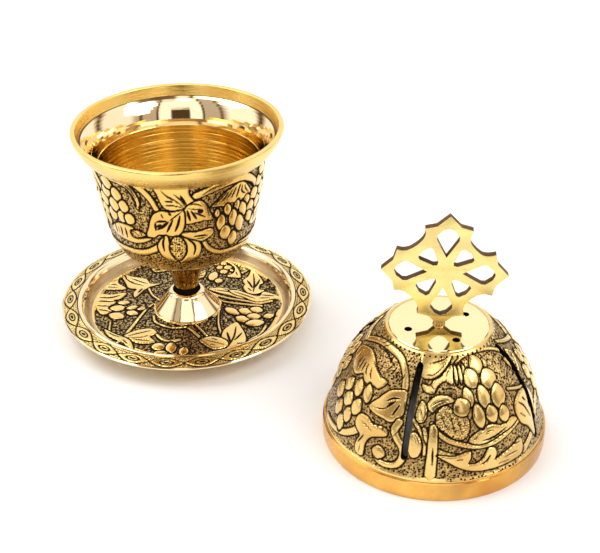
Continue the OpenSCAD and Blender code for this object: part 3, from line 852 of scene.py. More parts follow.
def engrave_border(angle, r, z):
    """A chain of almond-shaped plates, each with an outlined eye, on a punched ground."""
    along = (angle - LENS_PHASE)[None, :] * LENS_COUNT / 2
    across = (r - BORDER_R)[:, None]
    wave = LENS_H * np.abs(np.sin(along))
    slope = LENS_H * LENS_COUNT / 2 / BORDER_R * np.cos(along)
    inside = (wave - np.abs(across)) / np.sqrt(1 + slope**2)
    middle = (along % math.pi - math.pi / 2) * 2 * BORDER_R / LENS_COUNT
    outline = 0.27 - np.abs(inside + 0.1)
    eye = 0.2 - 0.95 * np.abs(np.hypot(middle / 2.6, across / 1.05) - 1)
    slit = 0.42 * (1 - np.hypot(middle / 1.5, across / 0.42))
    marks = np.where(inside > 0.2, np.maximum(eye, slit), -FAR)
    edges = 0.2 - np.minimum(*(np.abs(across - at) for at in BORDER_LINES))
    row = np.floor(across / DOT_ROW)
    dot_x = ((along * DOTS_PER_LENS + row * 0.5) % 1 - 0.5) * 0.93
    dot = 0.27 - np.hypot(dot_x, across - (row + 0.5) * DOT_ROW)
    outside = (inside < -0.4) & (across < 2.6) & (across > -2.8)
    line = np.maximum(np.maximum(outline, edges), marks)
    line = np.where(outside, np.maximum(line, dot), line)
    face = np.where(outside, 0.03, 0.5)
    height = 0.22 * ramp(inside, -0.1, 0.5) - 0.22 - 0.18 * ramp(line, -0.1, 0.2)
    rim = (ramp(r, 49.35, 49.5) + 1 - ramp(r, r[0] + 0.05, r[0] + 0.3))[:, None]
    return height * (1 - rim), line - FAR * rim, face + FAR * rim


# ---------------------------------------------------------------- materials


def node(tree, kind, **values):
    made = tree.nodes.new(kind)
    for name, value in values.items():
        setattr(made, name, value)
    return made


def link(tree, start, end):
    tree.links.new(start, end)


def math_node(tree, operation, a, b=0.5, c=0.5):
    made = node(tree, "ShaderNodeMath", operation=operation)
    for socket, value in zip(made.inputs, (a, b, c)):
        if isinstance(value, (int, float)):
            socket.default_value = value
        else:
            link(tree, value, socket)
    return made.outputs[0]


def remap(tree, value, low, high, to_low=0.0, to_high=1.0):
    made = node(tree, "ShaderNodeMapRange")
    link(tree, value, made.inputs["Value"])
    for name, number in (("From Min", low), ("From Max", high), ("To Min", to_low), ("To Max", to_high)):
        made.inputs[name].default_value = number
    return made.outputs["Result"]


def mix_colour(tree, share, a, b):
    made = node(tree, "ShaderNodeMix", data_type="RGBA")
    link(tree, share, made.inputs["Factor"])
    for socket, value in ((made.inputs[6], a), (made.inputs[7], b)):
        if isinstance(value, tuple):
            socket.default_value = (*value, 1)
        else:
            link(tree, value, socket)
    return made.outputs[2]


def noise(tree, vector, scale, detail=2.0, dimensions="3D"):
    made = node(tree, "ShaderNodeTexNoise", noise_dimensions=dimensions)
    link(tree, vector, made.inputs["W" if dimensions == "1D" else "Vector"])
    made.inputs["Scale"].default_value = scale
    made.inputs["Detail"].default_value = detail
    return made.outputs["Fac"]


def punch_marks(tree, position):
    """Distance, in cells, from the nearest of the small dots punched into a ground."""
    cells = node(tree, "ShaderNodeTexVoronoi", feature="F1")
    link(tree, position, cells.inputs["Vector"])
    cells.inputs["Scale"].default_value = 1000
    return cells.outputs["Distance"]


def lathe_rings(tree, position, scale):
    """Fine tool marks round the vertical axis, on any slope."""
    parts = node(tree, "ShaderNodeSeparateXYZ")
    link(tree, position, parts.inputs[0])
    x2 = math_node(tree, "MULTIPLY", parts.outputs[0], parts.outputs[0])
    radius2 = math_node(tree, "MULTIPLY_ADD", parts.outputs[1], parts.outputs[1], x2)
    radius = math_node(tree, "SQRT", radius2)
    path = math_node(tree, "MULTIPLY_ADD", radius, 1.31, parts.outputs[2])
    return noise(tree, path, scale, 3.0, "1D")


BRIGHT = (0.92, 0.69, 0.27)
AMBER = (0.80, 0.46, 0.11)
# Painted highlight colour, mixed in where an engraved surface faces the camera.
FACING_HIGHLIGHT = (0.97, 0.90, 0.66)
STAIN = (0.42, 0.25, 0.09)
PATINA = (0.022, 0.012, 0.005)
GROUND_TONE = (0.42, 0.26, 0.095)
DARK_GROUND = (0.46, 0.31, 0.14)


def warm_metal(tree, position, grain, bright, deep, tarnish, stain, brown_foot):
    """Brass with warm patches and stains; the last argument gives the heights between which a brown tint,
    strongest at the bottom, fades out.
    """
    patches = remap(tree, noise(tree, position, 70, 3.0), 0.35, 0.72, 0.0, tarnish)
    colour = mix_colour(tree, patches, bright, deep)
    colour = mix_colour(tree, remap(tree, grain, 0.3, 0.8, 0.0, 0.25), colour, deep)
    stains = remap(tree, noise(tree, position, 45, 4.0), 0.5, 0.72, 0.0, stain)
    colour = mix_colour(tree, stains, colour, STAIN)
    if brown_foot:
        # Browner towards the bottom, fading out upwards between the two heights.
        parts = node(tree, "ShaderNodeSeparateXYZ")
        link(tree, position, parts.inputs[0])
        foot_browning = remap(tree, parts.outputs[2], brown_foot[1], brown_foot[0], 0.0, 0.8)
        colour = mix_colour(tree, foot_browning, colour, STAIN)
    return colour


def engraved_metal(tree, position, grain, colour, roughness, ground_tone, pits, edge):
    """Adds dark cuts and a punched ground, from the mesh's line and face values, and a painted highlight that
    is paler where the surface faces the camera.
    """
    line = node(tree, "ShaderNodeAttribute", attribute_name="line").outputs["Fac"]
    face = node(tree, "ShaderNodeAttribute", attribute_name="face").outputs["Fac"]
    wobble = math_node(tree, "MULTIPLY_ADD", grain, 0.22, line)
    cut = remap(tree, wobble, 0.0, edge)
    ground = remap(tree, face, 0.06, -0.14)
    soot = remap(tree, noise(tree, position, 420, 3.0), 0.35, 0.7, 0.35, 1.0)
    # Painted highlight: the more a surface faces the camera, the paler it is painted.
    pale = remap(tree, node(tree, "ShaderNodeLayerWeight").outputs["Facing"], 0.42, 0.9, 0.0, 0.75)
    colour = mix_colour(tree, pale, colour, FACING_HIGHLIGHT)
    colour = mix_colour(tree, math_node(tree, "MULTIPLY", ground, soot), colour, ground_tone)
    holes = math_node(tree, "MULTIPLY", remap(tree, punch_marks(tree, position), *pits), ground)
    cut = math_node(tree, "MAXIMUM", cut, holes)
    colour = mix_colour(tree, cut, colour, PATINA)
    roughness = math_node(tree, "MAXIMUM", roughness, math_node(tree, "MULTIPLY", ground, 0.34))
    return colour, math_node(tree, "MAXIMUM", roughness, math_node(tree, "MULTIPLY", cut, 0.6))


def add_bump(tree, height, strength):
    bump = node(tree, "ShaderNodeBump")
    bump.inputs["Strength"].default_value = strength
    bump.inputs["Distance"].default_value = 0.0002
    link(tree, height, bump.inputs["Height"])
    return bump


def brass(name, bright=BRIGHT, deep=AMBER, rough=0.14, ring_scale=2600, ring_depth=0.05, engraved=False,
          tarnish=0.5, ground_tone=GROUND_TONE, grain_depth=0.08, metal=1.0, pits=(0.46, 0.34), edge=0.19,
          stain=0.0, brown_foot=None):
    """A brass material; ground_tone, pits and edge only count where it is engraved."""
    material = bpy.data.materials.new(name)
    material.use_nodes = True
    tree = material.node_tree
    shader = tree.nodes["Principled BSDF"]
    shader.inputs["Metallic"].default_value = metal
    shader.inputs["Specular IOR Level"].default_value = 0.5 * metal
    position = node(tree, "ShaderNodeTexCoord").outputs["Object"]
    grain = noise(tree, position, 1500, 3.0)
    colour = warm_metal(tree, position, grain, bright, deep, tarnish, stain, brown_foot)
    roughness = remap(tree, noise(tree, position, 160, 3.0), 0.3, 0.75, rough * 0.8, rough * 1.5)
    if engraved:
        colour, roughness = engraved_metal(tree, position, grain, colour, roughness,
                                           ground_tone, pits, edge)
    link(tree, colour, shader.inputs["Base Color"])
    link(tree, roughness, shader.inputs["Roughness"])
    rings = add_bump(tree, lathe_rings(tree, position, ring_scale), ring_depth)
    fine = add_bump(tree, grain, grain_depth)
    link(tree, rings.outputs[0], fine.inputs["Normal"])
    link(tree, fine.outputs[0], shader.inputs["Normal"])
    return material


ENGRAVED = brass("engraved_brass", bright=(0.85, 0.58, 0.17), deep=(0.72, 0.37, 0.07), rough=0.17,
                 engraved=True, ring_depth=0.02)
SAUCER_ENGRAVED = brass("saucer_brass", rough=0.15, engraved=True, ring_depth=0.02, ground_tone=DARK_GROUND,
                        pits=(0.40, 0.56))
DOME_ENGRAVED = brass("dome_brass", deep=(0.70, 0.40, 0.11), rough=0.17, engraved=True, ring_depth=0.02,
                      tarnish=0.8, edge=0.28, stain=0.55)
POLISHED = brass("polished_brass", bright=(0.94, 0.77, 0.48), deep=(0.88, 0.62, 0.33), rough=0.05,
                 ring_scale=900, ring_depth=0.03, tarnish=0.35, grain_depth=0.02)
FLARE = brass("flare_brass", bright=(0.93, 0.70, 0.24), deep=(0.86, 0.56, 0.14), rough=0.2, ring_scale=3000,
              ring_depth=0.3, tarnish=0.6)
TURNED = brass("turned_brass", bright=(0.88, 0.66, 0.28), deep=(0.74, 0.46, 0.14), rough=0.1,
               ring_scale=1800, ring_depth=0.14, tarnish=0.6)
# Painted shade: a darker copy of the brass for the stem, standing in for the shade and dark reflections under
# the bowl.
SHADED_STEM_BRASS = brass("stem_brass_painted_shade", bright=(0.60, 0.36, 0.12), deep=(0.30, 0.16, 0.05), rough=0.1,
                   ring_scale=900, ring_depth=0.05, tarnish=0.8)
BORE = brass("bore_brass", bright=(0.80, 0.60, 0.24), deep=(0.52, 0.34, 0.10), rough=0.09,
             ring_scale=700, ring_depth=0.9, tarnish=0.7, grain_depth=0.02)
# Painted reflection: a darker brown copy of the brass for the saucer's well wall, standing in for the dark
# that the wall mirrors.
WALL_DARK_REFLECTION = brass("well_wall_painted_reflection", bright=(0.62, 0.43, 0.22), deep=(0.32, 0.20, 0.09), rough=0.25,
                   ring_scale=900, ring_depth=0.2, tarnish=0.9)
# Near-black brown for the inside of the lid: soot, and painted shade for the dark in there.
INSIDE_SOOT_AND_SHADE = brass("inside_soot_and_painted_shade", bright=(0.10, 0.06, 0.025), deep=(0.04, 0.024, 0.010), rough=0.6,
               ring_scale=1500, ring_depth=0.3, tarnish=0.9, metal=0.3)
# Near-black painted shade for the walls of the slots and vent holes and for the seat round the stem's foot;
# on the ring at the stem's foot it is a dark joint and a painted dark reflection.
BLACK_SHADE = brass("black_painted_shade", bright=(0.012, 0.008, 0.005), deep=(0.006, 0.004, 0.003), rough=0.8,
              tarnish=1.0, metal=0.05)
EDGE_BROWN = brass("sawn_brass", bright=(0.20, 0.10, 0.035), deep=(0.05, 0.026, 0.010), rough=0.55,
                   ring_scale=3000, ring_depth=0.1, tarnish=1.0, metal=0.5)
BAND = brass("band_brass", bright=(0.91, 0.54, 0.13), deep=(0.60, 0.26, 0.05), rough=0.14, ring_scale=3200,
             ring_depth=0.3, tarnish=0.8, stain=0.7)
MIRROR = brass("mirror_brass", bright=(0.96, 0.85, 0.48), deep=(0.92, 0.72, 0.34), rough=0.05,
               ring_scale=900, ring_depth=0.02, tarnish=0.3, grain_depth=0.015)
BRUSHED = brass("brushed_brass", bright=(0.95, 0.82, 0.33), deep=(0.86, 0.60, 0.20), rough=0.26,
                ring_scale=2400, ring_depth=0.2, tarnish=0.6, stain=0.5,
                brown_foot=((DOME_H + 1) * MM, (DOME_H + 11) * MM))
FASTENING = brass("fastening_brass", bright=(0.9, 0.7, 0.34), deep=(0.7, 0.46, 0.16), rough=0.25,
                  tarnish=0.7)

# ---------------------------------------------------------------- cup

HOLE_R = 2.52
WALL_Z = CUP_H - 9
WALL_R = LIP_R - 6
BELLY_Z = BOWL_Z + 17
BELLY_R = LIP_R - 10.8
SOLE_Z = BOWL_Z + 3.2
SOLE_R = 20.5
LEDGE_Z = CUP_H - 4.1
THROAT_Z = CUP_H - 14
INNER_R = BELLY_R - 2.3
FLOOR_Z = BOWL_Z + 6
# The bowl's material numbers.
CUT, SHINY, INNER, DULL, OUTER = range(5)


def make_bowl():
    """The bowl: up its outside, over the lip and down the bore."""
    o = Outline(0, BOWL_Z + 4)
    o.line(DULL, 4, (HOLE_R, BOWL_Z + 4), (HOLE_R, BOWL_Z))
    o.line(SHINY, 4, (12, BOWL_Z))
    o.line(SHINY, 2.5, (SOLE_R, SOLE_Z))
    o.curve(CUT, 0.55, (BELLY_R - 2.7, SOLE_Z + 1.8), (BELLY_R - 0.6, BELLY_Z - 5), (BELLY_R, BELLY_Z))
    o.curve(CUT, 0.43, (BELLY_R + 1.4, BELLY_Z + 8), (WALL_R - 1.2, WALL_Z - 10), (WALL_R, WALL_Z))
    o.line(DULL, 1, (WALL_R + 0.5, WALL_Z))
    o.line(OUTER, 1, (WALL_R + 0.6, WALL_Z + 0.15))
    o.curve(OUTER, 0.9, (WALL_R + 3, WALL_Z + 1.6), (LIP_R - 0.4, CUP_H - 3.4), (LIP_R, CUP_H - 0.45))
    o.line(OUTER, 0.2, (LIP_R - 0.12, CUP_H - 0.12), (LIP_R - 0.45, CUP_H))
    o.line(OUTER, 0.6, (LIP_R - 1.65, CUP_H))
    o.line(OUTER, 0.2, (LIP_R - 1.92, CUP_H - 0.1), (LIP_R - 2, CUP_H - 0.4))
    o.line(OUTER, 1.2, (LIP_R - 3, LEDGE_Z))
    o.line(DULL, 1, (LIP_R - 3.6, LEDGE_Z))
    o.curve(SHINY, 1.2, (WALL_R - 0.6, LEDGE_Z - 2.6), (WALL_R - 2, THROAT_Z + 4), (WALL_R - 2.9, THROAT_Z))
    o.line(INNER, 0.4, (WALL_R - 3.1, THROAT_Z - 0.3))
    o.curve(INNER, 2.4, (WALL_R - 3.9, THROAT_Z - 8), (INNER_R + 1.4, BELLY_Z + 8), (INNER_R, BELLY_Z))
    o.curve(INNER, 1.6, (INNER_R - 0.8, BELLY_Z - 6), (INNER_R - 3.2, FLOOR_Z + 1.2), (17, FLOOR_Z))
    o.line(INNER, 8, (8, FLOOR_Z), (0, FLOOR_Z))
    return lathe("Bowl", o, 600, (ENGRAVED, POLISHED, BORE, EDGE_BROWN, FLARE),
                 [(*rows_of(o, CUT), engrave_bowl)])


def tool_marks(angle, r, z):
    """Shallow turned rings on a plain surface."""
    rng = np.random.default_rng(5)
    at = np.arange(0, len(r) + 2, 2)
    marks = np.interp(np.arange(len(r)), at, rng.uniform(-0.015, 0, len(at)))
    marks[[0, -1]] = 0
    flat = np.full((len(r), len(angle)), FAR)
    return np.repeat(marks[:, None], len(angle), 1), -flat, flat


def make_stem():
    """The waisted stem, its brass painted darker as shade under the bowl, with a black ring at its foot: a
    dark joint, painted black also as the dark reflection there.
    """
    side, hidden, ring = range(3)
    joint = STEM_Z + 2.3
    o = Outline(HOLE_R, BOWL_Z)
    o.line(hidden, 9, (HOLE_R, STEM_Z))
    o.line(ring, 1, (4.9, STEM_Z), (5, STEM_Z + 0.1))
    o.line(ring, 0.4, (5, joint - 0.1), (4.9, joint))
    o.curve(side, 0.3, (4.8, joint + 2.4), (6.0, joint + 5), (STEM_TOP_R - 2.4, BOWL_Z - 3.6))
    o.curve(side, 0.3, (STEM_TOP_R - 1.8, BOWL_Z - 2.6), (STEM_TOP_R - 0.4, BOWL_Z - 1.2),
            (STEM_TOP_R, BOWL_Z - 0.3))
    o.line(side, 0.4, (STEM_TOP_R - 0.2, BOWL_Z))
    return lathe("Stem", o, 192, (SHADED_STEM_BRASS, EDGE_BROWN, BLACK_SHADE), [(*rows_of(o, side), tool_marks)],
                 closed=True)


def make_foot():
    """The flared cone that carries the stem."""
    cone, hidden, seat = range(3)
    shoulder = 7.5
    o = Outline(HOLE_R, STEM_Z)
    o.line(hidden, 4, (HOLE_R, WELL_Z))
    o.line(hidden, 5, (FOOT_R - 0.1, WELL_Z))
    o.line(cone, 0.2, (FOOT_R, WELL_Z + 0.15))
    o.curve(cone, 0.3, (FOOT_R - 1.6, WELL_Z + 1.8), (shoulder + 1.4, STEM_Z - 3.6),
            (shoulder, STEM_Z - 1.4))
    o.curve(cone, 0.2, (shoulder - 0.3, STEM_Z - 0.5), (shoulder - 1, STEM_Z - 0.1), (5.6, STEM_Z))
    # Painted shade: the strip of the seat left showing round the stem is near black.
    o.line(seat, 0.6, (HOLE_R, STEM_Z))
    return lathe("Foot_cone", o, 192, (POLISHED, EDGE_BROWN, BLACK_SHADE), closed=True)


def make_saucer():
    """The saucer: underside, edge, engraved border, ridge and engraved well."""
    carved, bright, under, hidden, wall = range(5)
    ridge = SAUCER_R - 6.8
    well = 38.6
    top = SAUCER_H
    o = Outline(HOLE_R, WELL_Z)
    o.line(hidden, 2, (HOLE_R, 3))
    o.line(under, 7, (24, 3))
    o.line(under, 3, (24, 0.2), (24.2, 0))
    o.line(under, 3, (27.3, 0))
    o.line(under, 3, (27.5, 0.1), (28.5, 2.8))
    o.curve(under, 2.5, (well + 3, 4.2), (SAUCER_R - 5, top - 3.6), (SAUCER_R - 0.6, top - 2.6))
    o.line(bright, 0.8, (SAUCER_R, top - 2.1))
    o.line(bright, 0.5, (SAUCER_R, top - 1.6))
    o.line(bright, 0.5, (SAUCER_R - 0.4, top - 1.3))
    o.line(carved, 0.34, (SAUCER_R - 6.4, top - 0.2))
    o.curve(bright, 0.3, (ridge, top + 0.1), (ridge - 0.6, top), (ridge - 1, top - 0.4))
    o.curve(bright, 0.4, (ridge - 1.5, top - 0.9), (ridge - 1.7, top - 1.6), (ridge - 2, top - 2.3))
    # The sloping wall of the well carries the painted dark reflection.
    o.curve(wall, 0.5, (ridge - 2.4, top - 3.3), (well + 1.7, WELL_Z + 1), (well + 0.9, WELL_Z + 0.3))
    o.line(wall, 0.5, (well, WELL_Z))
    o.line(carved, 0.4, (FOOT_R + 0.1, WELL_Z))
    o.line(hidden, 5, (HOLE_R, WELL_Z))
    rows = np.nonzero(np.array(o.kind) == carved)[0]
    split = int(np.nonzero(np.diff(rows) > 1)[0][0]) + 1
    border = (rows[0], rows[split - 1] + 1, inward(engrave_border))
    floor = (rows[split], rows[-1] + 1, inward(engrave_well))
    return lathe("Saucer", o, 800, (SAUCER_ENGRAVED, POLISHED, TURNED, EDGE_BROWN, WALL_DARK_REFLECTION),
                 [border, floor], closed=True)


def inward(field):
    """The same engraving for rows that run from the outside in."""
    return lambda angle, r, z: tuple(rows[::-1] for rows in field(angle, r[::-1], z))


# ---------------------------------------------------------------- lid

SKIRT_R = LID_R - 1.8
DOME_T = 1.6
SLOTS = ((-111, 14), (-27, 9.5), (66, 12), (159, 12))
SLOT_W = 2.4
SLOT_TOP = 43
VENTS = (-163, -64, 30, 112)
VENT_R = 1.35
VENT_PITCH_R = 11.2
STUD_R = 1.62


def carve(piece, tools):
    """Cuts closed tool shapes out of a piece, removes the tools and cleans slivers off the cuts."""
    for tool in tools:
        add_boolean(piece, "DIFFERENCE", tool, "TRANSFER")
    mesh = final_mesh(piece)
    whole = bmesh.new()
    whole.from_mesh(mesh)
    bmesh.ops.remove_doubles(whole, verts=whole.verts, dist=SLIVER)
    bmesh.ops.dissolve_degenerate(whole, edges=whole.edges, dist=SLIVER)
    whole.to_mesh(mesh)
    whole.free()
    piece.modifiers.clear()
    piece.data = mesh
    for tool in tools:
        bpy.data.objects.remove(tool)


def slot_tool(turn, low):
    """A round-ended saw cut through the dome's wall, as a closed shape."""
    ends = 9
    half = SLOT_W / 2
    profile = []
    for start, middle in ((0, SLOT_TOP - half), (math.pi, low + half)):
        for k in range(ends):
            a = start + math.pi * k / (ends - 1)
            profile.append((half * math.cos(a), middle + half * math.sin(a)))
    count = len(profile)
    c, s = math.cos(math.radians(turn)), math.sin(math.radians(turn))
    placed = []
    for x in (DISC_R + 0.6, LID_R + 6):
        placed += [((x * c - y * s) * MM, (x * s + y * c) * MM, z * MM) for y, z in profile]
    sides = [(i, (i + 1) % count, count + (i + 1) % count, count + i) for i in range(count)]
    tool = bpy.data.meshes.new("slot_tool")
    tool.from_pydata(placed, [], [tuple(reversed(range(count))), tuple(range(count, 2 * count))] + sides)
    # The cut's walls take this near-black: painted shade inside the slot.
    tool.materials.append(BLACK_SHADE)
    return add_object("slot_tool", tool, LID_PLACE)


def make_dome():
    """The dome without its rim band and crown plate, sawn through by four slots."""
    carved, within, turned_face, seat = range(4)
    inner = SKIRT_R - DOME_T
    skirt = SKIRT_R - 0.02
    crown = DISC_R + 0.02
    ledge = DISC_R - 2
    o = Outline(inner, 0.8)
    o.line(turned_face, 2, (skirt, 0.8))
    o.line(turned_face, 7, (skirt, BAND_H))
    o.line(turned_face, 1, (LID_R - 0.8, BAND_H + 0.02))
    o.curve(carved, 0.39, (LID_R - 4.4, BAND_H + 17.7), (CROWN_R + 12.3, DOME_H - 8.8),
            (CROWN_R, DOME_H - 0.1), 24)
    o.line(turned_face, 0.5, (crown, DOME_H - 0.15))
    o.line(seat, 2, (crown, DOME_H - 1.4))
    o.line(seat, 2, (ledge, DOME_H - 1.4))
    o.line(seat, 2, (ledge, DOME_H - 2.7))
    o.line(within, 2, (CROWN_R - 1.7, DOME_H - 2.7))
    o.curve(within, 3.2, (CROWN_R + 10.6, DOME_H - 10.3), (inner - 2.8, BAND_H + 17), (inner, BAND_H), 24)
    o.line(within, 7, (inner, 0.8))
    dome = lathe("Dome", o, 600, (DOME_ENGRAVED, INSIDE_SOOT_AND_SHADE, TURNED, EDGE_BROWN),
                 [(*rows_of(o, carved), engrave_dome)], LID_PLACE, closed=True)
    carve(dome, [slot_tool(*slot) for slot in SLOTS])
    return dome


def make_rim():
    """The plain turned band that the dome's skirt sits in."""
    band, hidden = range(2)
    o = Outline(SKIRT_R, BAND_H)
    o.line(hidden, 4, (SKIRT_R, 0))
    o.line(band, 2, (LID_R - 0.4, 0))
    o.curve(band, 0.3, (LID_R - 0.05, 0.3), (LID_R, 2), (LID_R, 4))
    o.curve(band, 0.3, (LID_R, 5), (LID_R - 0.1, 6), (LID_R - 0.15, BAND_H - 0.4))
    o.line(band, 0.25, (LID_R - 0.5, BAND_H))
    o.line(band, 1, (SKIRT_R, BAND_H))
    return lathe("Lid_rim", o, 320, (BAND, EDGE_BROWN), place=LID_PLACE, closed=True)


def pin_tool(turn, low, high):
    """A short cylinder that cuts a vent hole."""
    x = VENT_PITCH_R * math.cos(math.radians(turn))
    y = VENT_PITCH_R * math.sin(math.radians(turn))
    o = Outline(0, low)
    for corner in ((VENT_R, low), (VENT_R, high), (0, high)):
        o.line(0, 50, corner)
    # The hole's walls take this near-black: painted shade inside the vent.
    return lathe("pin_tool", o, 40, (BLACK_SHADE,), place=(LID_X + x, LID_Y + y, 0))


def make_disc():
    """The crown plate, with its four vent holes."""
    top, hidden = range(2)
    low = DOME_H - 1.4
    o = Outline(STUD_R, DOME_H)
    o.line(hidden, 2, (STUD_R, low))
    o.line(hidden, 5, (DISC_R, low))
    o.line(hidden, 2, (DISC_R, DOME_H - 0.2))
    o.line(top, 0.3, (DISC_R - 0.25, DOME_H))
    o.line(top, 1.0, (DISC_R - 1.2, DOME_H - 0.05), (STUD_R, DOME_H))
    disc = lathe("Vent_disc", o, 256, (MIRROR, EDGE_BROWN), place=LID_PLACE, closed=True)
    carve(disc, [pin_tool(turn, low - 1, DOME_H + 1) for turn in VENTS])
    return disc


# ---------------------------------------------------------------- cross

ARM_L = 21
# How far from the hub the edge is, midway between two arms; the four corners were filed by hand.
CORNERS = (13.6, 14.1, 14.8, 14.5)
CORNER_R = 13.9
PLATE_T = 2.8
PLATE_TURN = math.radians(-3)
PLATE_LEAN = math.radians(2.4)
EDGE_ROUND = 0.22
LONG_WINDOW = [(0, 5.9), (1.9, 9.2), (3.7, 12.5), (3.7, 13.9), (1.9, 16.1), (0, 16.9)]
SHORT_WINDOW = [(0, 3.9), (1.0, 4.7), (2.95, 9.4), (2.7, 10.5), (0, 11.2)]


def turned(points, degrees):
    c, s = math.cos(math.radians(degrees)), math.sin(math.radians(degrees))
    return [(x * c - y * s, x * s + y * c) for x, y in points]


def mirrored(half):
    return half + [(-x, y) for x, y in reversed(half[1:-1])]


def cross_outline():
    """The plate's edge, one quarter at a time, clockwise from the arm that points up."""
    points = []
    for quarter, corner in enumerate(CORNERS):
        out = (corner - CORNER_R) / math.sqrt(2)
        near, far = (7.8 + out, 11.9 + out), (11.9 + out, 7.8 + out)
        horn, last_horn = (8.0, 16.5), (16.3, 7.9)
        side = [(0, ARM_L + 0.3), (3.9, 17.5)]
        side += list(bezier(horn, (7.3, 14.7), (7.3 + out, 13 + out), near, 6))[:-1]
        side += list(bezier(near, (8.7 + out, 10.4 + out), (10.4 + out, 8.7 + out), far, 6))[:-1]
        side += list(bezier(far, (13 + out, 7.3 + out), (14.6, 7.2), last_horn, 6)) + [(17.3, 4.1)]
        points += turned(side, -90 * quarter)
    return points


def add_loop(curve, points):
    spline = curve.splines.new("POLY")
    spline.points.add(len(points) - 1)
    for point, (x, y) in zip(spline.points, points):
        point.co = (x * MM, y * MM, 0, 1)
    spline.use_cyclic_u = True


def cross_plate():
    """The flat openwork plate: four arms, with a long and a short window in each quarter."""
    curve = bpy.data.curves.new("cross_plate", "CURVE")
    curve.dimensions = "2D"
    curve.fill_mode = "BOTH"
    curve.extrude = PLATE_T / 2 * MM
    add_loop(curve, cross_outline())
    for quarter in range(4):
        add_loop(curve, turned(mirrored(LONG_WINDOW), 90 * quarter))
        add_loop(curve, turned(mirrored(SHORT_WINDOW), 45 + 90 * quarter))
    shell = add_object("cross_plate", curve)
    mesh = final_mesh(shell)
    bpy.data.objects.remove(shell)
    return mesh


def round_edges(mesh):
    """Breaks the plate's sharp edges, as a file does."""
    shell = add_object("cross_edges", mesh)
    weld = shell.modifiers.new("weld", "WELD")
    weld.merge_threshold = SLIVER
    edges = shell.modifiers.new("edges", "BEVEL")
    edges.width = EDGE_ROUND * MM
    edges.segments = 2
    edges.limit_method = "ANGLE"
    edges.angle_limit = math.radians(50)
    rounded = final_mesh(shell)
    bpy.data.objects.remove(shell)
    return rounded


def make_collar():
    """The collar and the top of the stud that the plate stands on."""
    o = Outline(0, DOME_H - 5)
    o.line(0, 0.8, (1.4, DOME_H - 5), (1.6, DOME_H - 4.8))
    o.line(0, 1, (1.6, DOME_H))
    o.line(0, 1, (2.2, DOME_H))
    o.line(0, 0.4, (2.2, DOME_H + 0.4), (1.6, DOME_H + 1.4))
    o.line(0, 1, (0, DOME_H + 1.4))
    return lathe("collar", o, 64, (TURNED,), place=LID_PLACE)


def make_cross():
    """The cross, leaning a little, with its collar and stud."""
    place = (Matrix.Translation(Vector((0, 0, (DOME_H + 0.1) * MM))) @ Matrix.Rotation(PLATE_TURN, 4, "Z")
             @ Matrix.Rotation(math.pi / 2, 4, "X") @ Matrix.Rotation(-PLATE_LEAN, 4, "Z")
             @ Matrix.Translation(Vector((0, ARM_L * MM, 0))))
    mesh = round_edges(cross_plate())
    mesh.transform(place)
    mesh.materials.append(BRUSHED)
    mesh.materials.append(EDGE_BROWN)
    front = place.to_3x3() @ Vector((0, 0, 1))
    for polygon in mesh.polygons:
        flat = abs(polygon.normal.dot(front))
        polygon.material_index = 0 if flat > 0.3 else 1
        polygon.use_smooth = True
    plate = add_object("Cross_finial", mesh, LID_PLACE)
    collar = make_collar()
    add_boolean(plate, "UNION", collar, "INDEX")
    joined = final_mesh(plate)
    plate.modifiers.clear()
    plate.data = joined
    bpy.data.objects.remove(collar)
    joined.set_sharp_from_angle(angle=math.radians(40))
    return plate


# ---------------------------------------------------------------- pieces on their bodies

PIECES = [
    (make_bowl, "bowl", "cup", "engraved_brass"), (make_stem, "stem", "cup", "turned_brass"),
    (make_foot, "foot_cone", "cup", "polished_brass"), (make_saucer, "saucer", "cup", "engraved_brass"),
    (make_dome, "dome", "lid", "engraved_brass"), (make_rim, "lid_rim", "lid", "turned_brass"),
    (make_disc, "vent_disc", "lid", "polished_brass"),
    (make_cross, "cross_finial", "lid", "polished_brass"),
]
for make, cad_node, body, slot in PIECES:
    piece = make()
    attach(piece, body)
    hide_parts(cad_node)

for name in ("tie_rod", "base_washer", "base_nut", "finial_washer", "finial_nut"):
    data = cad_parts[name].data
    data.materials.clear()
    data.materials.append(FASTENING)

# ---------------------------------------------------------------- studio

# Place in metres, downward pitch and roll in radians, and focal length in millimetres.
CAMERA_PLACE = (0.04564, -0.45253, 0.29695)
CAMERA_PITCH = 0.552
CAMERA_ROLL = -0.006
CAMERA_LENS = 79.6


def make_floor():
    """A sheet of white paper."""
    size = 4.0
    mesh = bpy.data.meshes.new("Floor")
    corners = [(-size, -size, 0), (size, -size, 0), (size, size, 0), (-size, size, 0)]
    mesh.from_pydata(corners, [], [(0, 1, 2, 3)])
    material = bpy.data.materials.new("white_paper")
    material.use_nodes = True
    tree = material.node_tree
    shader = tree.nodes["Principled BSDF"]
    position = node(tree, "ShaderNodeTexCoord").outputs["Object"]
    tone = mix_colour(tree, noise(tree, position, 6, 2.0), (0.93, 0.93, 0.93), (0.91, 0.91, 0.91))
    link(tree, tone, shader.inputs["Base Color"])
    shader.inputs["Roughness"].default_value = 0.9
    shader.inputs["Specular IOR Level"].default_value = 0.2
    mesh.materials.append(material)
    add_object("Floor", mesh)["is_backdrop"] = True


def softbox(name, place, aim, size, watts):
    """A square lamp; places in metres."""
    data = bpy.data.lights.new(name, "AREA")
    data.shape = "RECTANGLE"
    data.size = size
    data.size_y = size
    data.energy = watts
    lamp = add_object(name, data)
    lamp.location = place
    lamp.rotation_euler = (Vector(aim) - Vector(place)).to_track_quat("-Z", "Y").to_euler()


